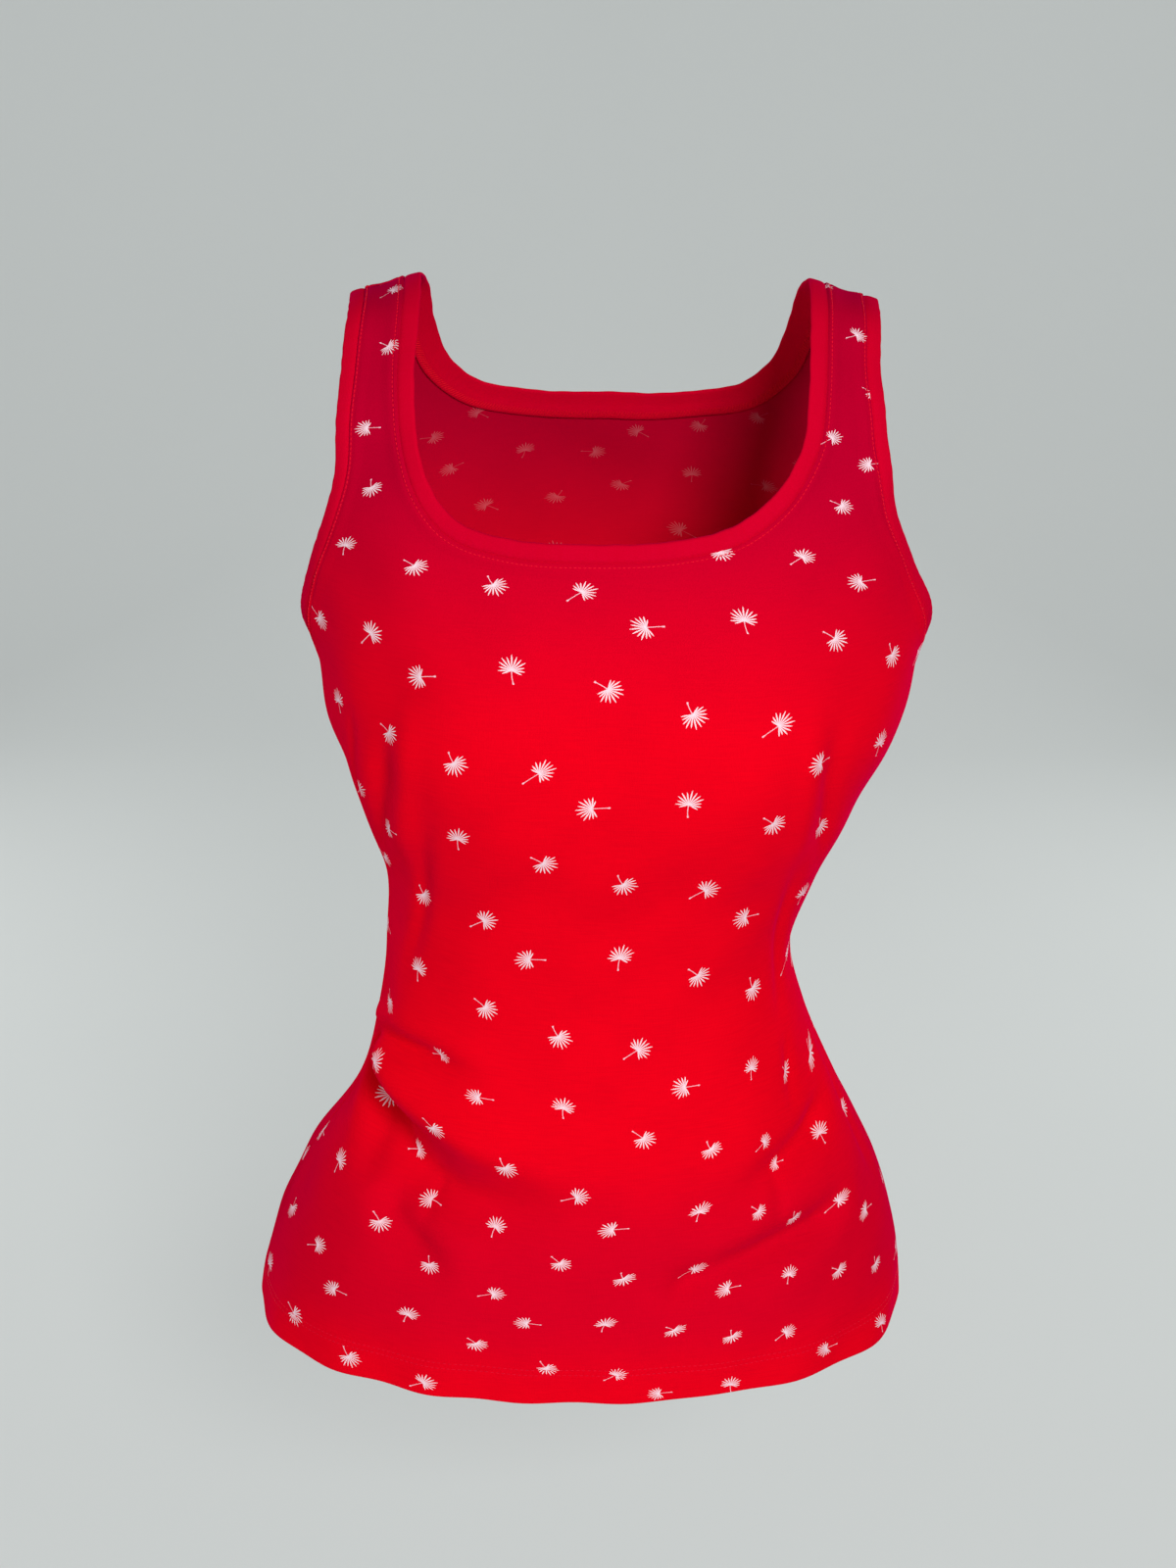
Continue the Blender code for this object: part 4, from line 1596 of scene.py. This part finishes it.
@dataclass(frozen=True)
class SeedHeadInk:
    """The print's drawing: leaf-shaped rays, a hub and a curved stem."""

    colour: Colour = (0.97, 0.76, 0.84)
    stem_colour: Colour = (0.93, 0.58, 0.70)
    rays: int = 13
    spread: float = 228.0  # degrees that the rays fan over
    long_ray: float = 0.0076
    short_ray: float = 0.0050
    thin: float = 0.00011
    thick: float = 0.00035
    fullness: tuple[float, float] = (2.1, 3.0)  # of a ray, and the power that puts it far out
    uneven: float = 0.00055  # how much longer or shorter a ray may be
    change: tuple[float, float] = (2.39, 37.0)  # of the unevenness, by ray and by drawing
    hub: tuple[float, float, float] = (0.0008, 0.0004, 0.85)  # radius, soft edge and strength
    stems: tuple[float, float] = (0.0064, 0.0090)
    stem_width: tuple[float, float] = (0.00019, 0.00046)  # half widths along it and at its foot
    foot: float = 0.84  # the share of the stem at which its foot begins
    sag: float = 0.04
    edge: float = 0.00010

    def nearest(self, cells: Shade, repeat: PrintRepeat) -> tuple[Shade, Shade, Shade]:
        """The place in the nearest drawing's own frame, with the stem pointing down.

        Each drawing's place is the cell's remainder, carried to metres and turned by two dot
        products, and the drawing with the least distance wins.

        Args:
            cells: Places counted in repeats.
            repeat: The print.

        Returns:
            The place with the stem's bend as its third part, the distance, and how long the
            drawing's stem is.
        """
        lattice = repeat.lattice()
        best = far = seed = None
        for head in repeat.heads:
            corner = 0.5 - np.linalg.solve(lattice, np.array(head.place))
            moved = cells.vector_math("ADD", (*corner, 0.0))
            rest = moved.vector_math("FRACTION", (0, 0, 0)).vector_math("SUBTRACT", (0.5, 0.5, 0.0))
            turn = math.radians(head.stem)
            up = -np.array([math.cos(turn), math.sin(turn)])
            right = np.array([up[1], -up[0]])
            x = rest.vector_math("DOT_PRODUCT", (*(right @ lattice), 0.0), 1)
            y = rest.vector_math("DOT_PRODUCT", (*(up @ lattice), 0.0), 1)
            place = Shade.node(cells.tree, "CombineXYZ", {}, {0: x, 1: y, 2: head.bend})
            distance = (x * x + y * y).math("SQRT")
            if best is None:
                best, far, seed = place, distance, distance * 0.0 + head.long_stem
                continue
            closer = distance.math("LESS_THAN", far)
            best = closer.mixed("VECTOR", best, place)
            far = distance.math("MINIMUM", far)
            seed = seed * (1 - closer) + closer * head.long_stem
        return best, far, seed

    def cover(self, cells: Shade, repeat: PrintRepeat) -> tuple[Shade, Shade]:
        """How much ink lies at a place, and how much of it is the stem's.

        A ray is all within its half width of a line from the hub, fullest past the middle. The
        ray is the whole number nearest to the angle over the rays' spacing.

        Args:
            cells: Places counted in repeats.
            repeat: The print.

        Returns:
            The two shares.
        """
        place, far, seed = self.nearest(cells, repeat)
        x, y, bend = place.parts()
        gap = math.radians(self.spread / (self.rays - 1))
        half = (self.rays - 1) / 2
        angle = x.math("ARCTAN2", y)
        ray = (angle / gap).math("ROUND").between(-half, half)
        off = angle - ray * gap
        along, aside = far * off.math("COSINE"), far * off.math("SINE")
        by_ray, by_drawing = self.change
        wobble = (ray * by_ray + seed * by_drawing).math("SINE")
        outer = (ray / half).math("POWER", 2.0)
        length = self.long_ray - outer * (self.long_ray - self.short_ray) + wobble * self.uneven
        share = (along / length).between(0.0, 1.0)
        past = along - share * length
        distance = (past * past + aside * aside).math("SQRT")
        fullness, power = self.fullness
        leaf = share * (1 - share.math("POWER", power)) * fullness
        width = self.thin + leaf * (self.thick - self.thin)
        rays = (width - distance).rise(-self.edge, self.edge)
        radius, soft, strength = self.hub
        hub = (radius - far).rise(-soft, soft) * strength
        short, long = self.stems
        reach = short + seed * (long - short)
        share = (0.0 - y / reach).between(0.0, 1.0)
        curve = share * share * bend * self.sag + x
        drop = y + share * reach
        stem_far = (curve * curve + drop * drop).math("SQRT")
        thin, full = self.stem_width
        half_width = thin + share.rise(self.foot, 1.0) * (full - thin)
        stem = (half_width - stem_far).rise(-self.edge, self.edge)
        return rays.math("MAXIMUM", hub).math("MAXIMUM", stem), stem * (1 - rays)


@dataclass(frozen=True)
class JerseyFinish:
    """Knitted cotton: wales and courses, a little unevenness, a pink bloom, painted shade and a print.
    """

    name: str
    colour: Colour = (0.86, 0.0005, 0.010)
    shade: Colour = (0.56, 0.0002, 0.008)  # painted shade between the wales, and the darker tone of the yarn's streaks, clouds and fibres
    bloom: Colour = (0.42, 0.0, 0.20)
    bloom_weight: float = 0.22
    bloom_roughness: float = 0.42
    slack: Colour = (0.36, 0.0, 0.027)  # painted shade with a painted bluish sheen, on the straps and hips
    painted_shade_share: float = 0.75
    ink: SeedHeadInk | None = None
    repeat: PrintRepeat | None = None
    print_strength: float = 1.0
    print_wear: tuple[float, float, float] = (0.88, 0.12, 0.25)  # least, by stitch and by fibre
    wale: float = 0.00080
    course: float = 0.00062
    lean: float = 1.25  # how far each stitch's two legs slope
    purl: bool = False  # the wrong side, whose ribs run across
    leg_share: float = 0.45  # how deep the legs cut a rib
    arc_share: float = 0.75  # the same of the arcs, on the wrong side
    relief: float = 0.00009
    bump: float = 0.40
    bump_fibres: float = 0.5
    roughness: float = 0.86
    rough_fibres: float = 0.12
    smooth_ink: float = 0.10
    streak_scale: tuple[float, float, float] = (70.0, 1100.0, 0.0)  # for each metre
    cloud_scale: float = 28.0
    fibre_scale: float = 2600.0
    # How much painted shade between the stitches, and the yarn's streaks, soft clouds and fibres,
    # darken the colour.
    knit_painted_shade: float = 0.20
    streak_depth: float = 0.50
    cloud_depth: float = 0.34
    fibre_depth: float = 0.15
    # The stations between which painted shade comes on over the straps, and over the hips and back.
    painted_strap_shade: tuple[float, float] = (0.36, 0.52)
    painted_hip_rise: tuple[float, float] = (0.0, 0.05)
    painted_hip_fade: tuple[float, float] = (0.075, 0.15)
    painted_hip_share: float = 0.42

    def knit(self, cloth: Shade) -> Shade:
        """The height of the stitches: rounded ribs, each cut by slanting legs, or by arcs.

        Args:
            cloth: Places on the flat cloth.

        Returns:
            A height from 0 to 1.
        """
        across, up, _ = cloth.parts()
        rib = (across / self.wale).math("FRACT") - 0.5
        aside = rib.math("ABSOLUTE")
        crown = 1 - (rib * rib) * 4.0
        phase = up * (math.tau / self.course) + aside * (self.lean * math.tau)
        legs = phase.math("SINE") * 0.5 + 0.5
        if self.purl:
            return legs * self.arc_share + crown * (1 - self.arc_share)
        return crown * (legs * self.leg_share + (1 - self.leg_share))

    def material(self) -> bpy.types.Material:
        """The finish as nodes, on the cloth's own two maps.

        Returns:
            The material.
        """
        material, tree, shader = new_material(self.name)
        cloth = Shade.node(tree, "UVMap", {"uv_map": "cloth"})
        station = cloth.parts()[1]
        knit = self.knit(cloth)
        drawn = cloth.vector_math("MULTIPLY", self.streak_scale)
        noises = (drawn, 1.0, 2.0), (cloth, self.cloud_scale, 3.0), (cloth, self.fibre_scale, 2.0)
        streaks, clouds, fibres = (
            Shade.node(tree, "TexNoise", {}, {0: place, "Scale": scale, "Detail": detail}) - 0.5
            for place, scale, detail in noises
        )
        # Painted shade between the stitches, plus the yarn's own streaks, clouds and fibres.
        depth = (1 - knit) * self.knit_painted_shade + streaks * self.streak_depth
        depth = depth + clouds * self.cloud_depth + fibres * self.fibre_depth
        colour = depth.between(0.0, 1.0).mixed("RGBA", opaque(self.colour), opaque(self.shade))
        # Painted shade, darker and bluer, over the straps and in a band low round the hips.
        hips = station.rise(*self.painted_hip_rise) * (1 - station.rise(*self.painted_hip_fade)) * self.painted_hip_share
        painted_shade = (station.rise(*self.painted_strap_shade) + hips) * self.painted_shade_share
        colour = painted_shade.mixed("RGBA", colour, opaque(self.slack))
        rough = self.roughness + fibres * self.rough_fibres
        if self.ink is not None:
            cells = Shade.node(tree, "UVMap", {"uv_map": "print"})
            cover, stem = self.ink.cover(cells, self.repeat)
            least, stitch, fibre = self.print_wear
            worn = cover * (self.print_strength * (least + knit * stitch + fibres * fibre))
            ink = stem.mixed("RGBA", opaque(self.ink.colour), opaque(self.ink.stem_colour))
            colour = worn.between(0.0, 1.0).mixed("RGBA", colour, ink)
            rough = rough - worn * self.smooth_ink
        height = knit + fibres * self.bump_fibres
        bumps = {"Strength": self.bump, "Distance": self.relief, "Height": height}
        values = {
            "Base Color": colour,
            "Roughness": rough,
            "Normal": Shade.node(tree, "Bump", {}, bumps),
            "Specular IOR Level": 0.0,
            "Sheen Weight": self.bloom_weight,
            "Sheen Roughness": self.bloom_roughness,
            "Sheen Tint": opaque(self.bloom),
        }
        Shade.feed(tree, shader, values)
        return material


@dataclass(frozen=True)
class ThreadFinish:
    """Twisted sewing thread."""

    name: str
    colour: Colour = (0.87, 0.005, 0.032)
    shade: Colour = (0.60, 0.001, 0.012)
    painted_groove_shade: float = 0.7  # painted shade in the grooves between the plies
    plies: float = 900.0  # for each metre
    twist: float = 1.5
    relief: float = 0.00005

    def material(self) -> bpy.types.Material:
        """The finish as nodes: slanting plies on the piece's own coordinates.

        Returns:
            The material.
        """
        material, tree, shader = new_material(self.name)
        place = Shade.node(tree, "TexCoord", output="Object")
        settings = {"wave_type": "BANDS", "bands_direction": "DIAGONAL"}
        waves = {0: place, "Scale": self.plies, "Distortion": self.twist}
        ply = Shade.node(tree, "TexWave", settings, waves, 1)
        bumps = {"Strength": 0.4, "Distance": self.relief, "Height": ply}
        # Painted shade in the grooves between the plies.
        depth = ply * self.painted_groove_shade
        values = {
            "Base Color": depth.mixed("RGBA", opaque(self.colour), opaque(self.shade)),
            "Normal": Shade.node(tree, "Bump", {}, bumps),
            "Roughness": 0.55,
            "Specular IOR Level": 0.05,
        }
        Shade.feed(tree, shader, values)
        return material


@dataclass(frozen=True)
class Lamp:
    """A square soft lamp that faces a height on the top's middle line."""

    name: str
    place: tuple[float, float, float]
    aim: float
    size: float
    power: float

    def hang(self) -> None:
        """Adds the lamp to the scene."""
        light = bpy.data.lights.new(self.name, "AREA")
        light.size, light.energy = self.size, self.power
        lamp = bpy.data.objects.new(self.name, light)
        lamp.location = self.place
        heading = Vector((0.0, 0.0, self.aim)) - Vector(self.place)
        lamp.rotation_euler = heading.to_track_quat("-Z", "Y").to_euler()
        bpy.context.scene.collection.objects.link(lamp)


@dataclass
class Studio:
    """A pale sweep of paper, soft lamps and the camera."""

    paper: Colour = (0.66, 0.69, 0.68)
    glow: Colour = (0.66, 0.70, 0.69)
    glow_share: float = 0.55  # of the paper that the camera sees
    darker: float = 0.93  # the paper's clouds
    sky: Colour = (0.96, 0.98, 1.0)
    ambient: float = 0.13
    floor: float = -0.90
    front: float = -4.0
    wall: float = 2.60
    bend: float = 0.80
    height: float = 3.2
    half_width: float = 4.5
    lamps: tuple[Lamp, ...] = (
        Lamp("key", (0.52, -1.97, 0.82), -0.32, 0.60, 41.0),
        Lamp("front_fill", (-1.40, -1.50, -0.20), -0.32, 1.2, 7.0),
        Lamp("left_fill", (1.30, 1.30, 0.10), -0.30, 0.9, 13.0),
        Lamp("right_fill", (-1.30, 1.30, 0.10), -0.30, 0.9, 13.0),
    )
    lens: float = 49.0
    sensor: float = 36.0
    stand: tuple[float, float, float] = (-0.0105, -1.070, 0.141)
    tilt: float = 69.1  # degrees up from straight down
    roll: float = 0.6

    def build(self) -> None:
        """Puts up the sweep, the lamps, the world and the camera."""
        self.sweep()
        for lamp in self.lamps:
            lamp.hang()
        world = bpy.data.worlds.new("soft_room")
        world.use_nodes = True
        background = world.node_tree.nodes["Background"]
        values = {"Color": opaque(self.sky), "Strength": self.ambient}
        Shade.feed(world.node_tree, background, values)
        bpy.context.scene.world = world
        bpy.context.scene.view_settings.view_transform = "Standard"
        self.camera()

    def sweep(self) -> None:
        """The paper: flat floor, a quarter circle, then the wall, carried straight across."""
        turn = np.linspace(0, math.pi / 2, 24)
        start = self.wall - self.bend
        back = np.concatenate([[self.front, -1.0], start + self.bend * np.sin(turn), [self.wall]])
        up = np.concatenate([[0.0, 0.0], self.bend * (1 - np.cos(turn)), [self.height]])
        across = np.linspace(-self.half_width, self.half_width, 12)
        grid = np.broadcast_arrays(across[:, None], back, up + self.floor)
        shell = Shell()
        index = shell.add_points(np.stack(grid, axis=-1))
        shell.add_faces(grid_faces(index)[:, ::-1], {})
        material, tree, shader = new_material("pale_paper")
        place = Shade.node(tree, "TexCoord", output="Object")
        grain = Shade.node(tree, "TexNoise", {}, {0: place, "Scale": 2.2, "Detail": 3.0})
        dark = tuple(self.darker * part for part in self.paper)
        colour = grain.mixed("RGBA", opaque(self.paper), opaque(dark))
        values = {"Base Color": colour, "Roughness": 0.95, "Specular IOR Level": 0.1}
        Shade.feed(tree, shader, values)
        glow = Shade.node(tree, "Emission", {}, {"Color": opaque(self.glow), "Strength": 1.0})
        seen = Shade.node(tree, "LightPath", output="Is Camera Ray")
        values = {0: seen * self.glow_share, 1: Shade(tree, shader.outputs[0]), 2: glow}
        shown = Shade.node(tree, "MixShader", {}, values)
        Shade.feed(tree, tree.nodes["Material Output"], {"Surface": shown})
        shell.piece("paper_sweep", [material])

    def camera(self) -> None:
        """The camera, a little above the neck and tilted down."""
        data = bpy.data.cameras.new("camera")
        data.lens, data.sensor_width = self.lens, self.sensor
        camera = bpy.data.objects.new("camera", data)
        turns = (math.radians(self.tilt), "X"), (math.radians(self.roll), "Z")
        tilt, roll = (Matrix.Rotation(angle, 4, axis) for angle, axis in turns)
        camera.location = self.stand
        camera.rotation_euler = (tilt @ roll).to_euler()
        bpy.context.scene.collection.objects.link(camera)
        bpy.context.scene.camera = camera


@dataclass
class JerseyTop:
    """The whole top."""

    front: Panel = field(
        default_factory=lambda: Panel(
            Side.FRONT, FRONT_NECK, FRONT_ARMHOLE, FRONT_CREASES, Ripple(3), (0.51, 0.66), 0.225
        )
    )
    back: Panel = field(
        default_factory=lambda: Panel(
            Side.BACK,
            BACK_NECK,
            BACK_ARMHOLE,
            BACK_CREASES,
            Ripple(8),
            (0.51, 0.66),
            0.225,
            print_repeat=PrintRepeat(gather=0.25),
        )
    )
    bands: tuple[Band, ...] = field(
        default_factory=lambda: (
            Band(Opening.NECK, 0.0088, 0.032, 0.80, 11),
            Band(Opening.LEFT_ARMHOLE, 0.0078, 0.030, 0.46, 12),
            Band(Opening.RIGHT_ARMHOLE, 0.0078, 0.030, 0.46, 13),
        )
    )

    def build(self) -> None:
        """Makes the cloth, then everything that is sewn on it."""
        ink, repeat = SeedHeadInk(), PrintRepeat()
        printed = JerseyFinish("printed_jersey_right_side", ink=ink, repeat=repeat).material()
        wrong = JerseyFinish(
            "printed_jersey_wrong_side",
            colour=(0.74, 0.002, 0.014),
            ink=ink,
            repeat=repeat,
            print_strength=0.10,
            purl=True,
        ).material()
        plain = JerseyFinish("plain_jersey_bands", colour=(0.62, 0.0004, 0.022), painted_shade_share=0.0)
        strip = plain.material()
        thread = ThreadFinish("sewing_thread").material()
        loose = ThreadFinish("overlock_thread", colour=(0.74, 0.006, 0.02)).material()
        for panel in (self.front, self.back):
            panel.build(printed, wrong)
        for band in self.bands:
            band.build(self.front, self.back, strip)
        sewn = [self.hem_stitches(thread), self.hem_loops(loose)]
        sewn += [self.topstitches(band, thread) for band in self.bands]
        sewn += [band.overlock(loose) for band in self.bands]
        self.front.declare(sewn)
        self.back.declare(self.seams(wrong, loose))
        for band in self.bands:
            band.declare()

    def topstitches(self, band: Band, material: bpy.types.Material) -> bpy.types.Object:
        """Sews a row of stitches beside a band, on both panels' right sides.

        Args:
            band: The band.
            material: The thread's finish.

        Returns:
            The finished piece.
        """
        thread = Thread(f"{band.name}_topstitching", 0.0019, 0.00066, 0.00054, 0.0023)
        runs = (
            panel.outer(*panel.places_beside(band.opening, 500, TOPSTITCH_GAP).T, 0.00016)
            for panel in (self.front, self.back)
        )
        return thread.sew(*there_and_back(*runs)).finish(material)

    def hem_line(self, station: float, lift: float, wrong: bool) -> list[Array]:
        """Points and ways out round the hem at one station, over either side of the cloth."""
        runs = (panel.hem_line(station, lift, wrong) for panel in (self.front, self.back))
        return there_and_back(*runs)

    def hem_stitches(self, material: bpy.types.Material) -> bpy.types.Object:
        """Sews two close rows of stitches round the hem, on the right side.

        Args:
            material: The thread's finish.

        Returns:
            The finished piece.
        """
        thread = Thread("hem_topstitching")
        for station in HEM_ROWS:
            thread.sew(*self.hem_line(station, 0.00006, False))
        return thread.finish(material)

    def hem_loops(self, material: bpy.types.Material) -> bpy.types.Object:
        """Sews the loops between the hem's two rows, to and fro on the wrong side."""
        thread = Thread("hem_looping", 0.0044, 0.00045, 0.00045, 0.0015, 58.0, True)
        return thread.sew(*self.hem_line(0.0178, 0.0001, True)).finish(material)

    def seams(self, cloth: bpy.types.Material, thread: bpy.types.Material) -> list[bpy.types.Object]:
        """Makes the side and shoulder seams' allowances, with their overlock thread.

        Args:
            cloth: The strips' finish.
            thread: The thread's finish.

        Returns:
            The finished pieces.
        """
        made = []
        inward = 0.9 / self.back.round_length
        for sign, hand in ((1, "left"), (-1, "right")):
            foot, underarm = (sign, 0.0235), (sign, 0.385)
            neck, arm = (sign * 0.379, TOP_STATION), (sign * 0.476, TOP_STATION)
            for seam in (
                Seam(f"{hand}_side_seam", self.back, foot, underarm, (-sign * inward, 0.0), 170),
                Seam(f"{hand}_shoulder_seam", self.back, neck, arm, (0.0, -1.0), 24),
            ):
                made += [seam.build(cloth), seam.overlock(thread)]
        return made


def main() -> None:
    """Builds the top and the studio."""
    logging.basicConfig(level=logging.INFO, format="%(name)s: %(message)s")
    JerseyTop().build()
    Studio().build()


if __name__ == "__main__":
    main()
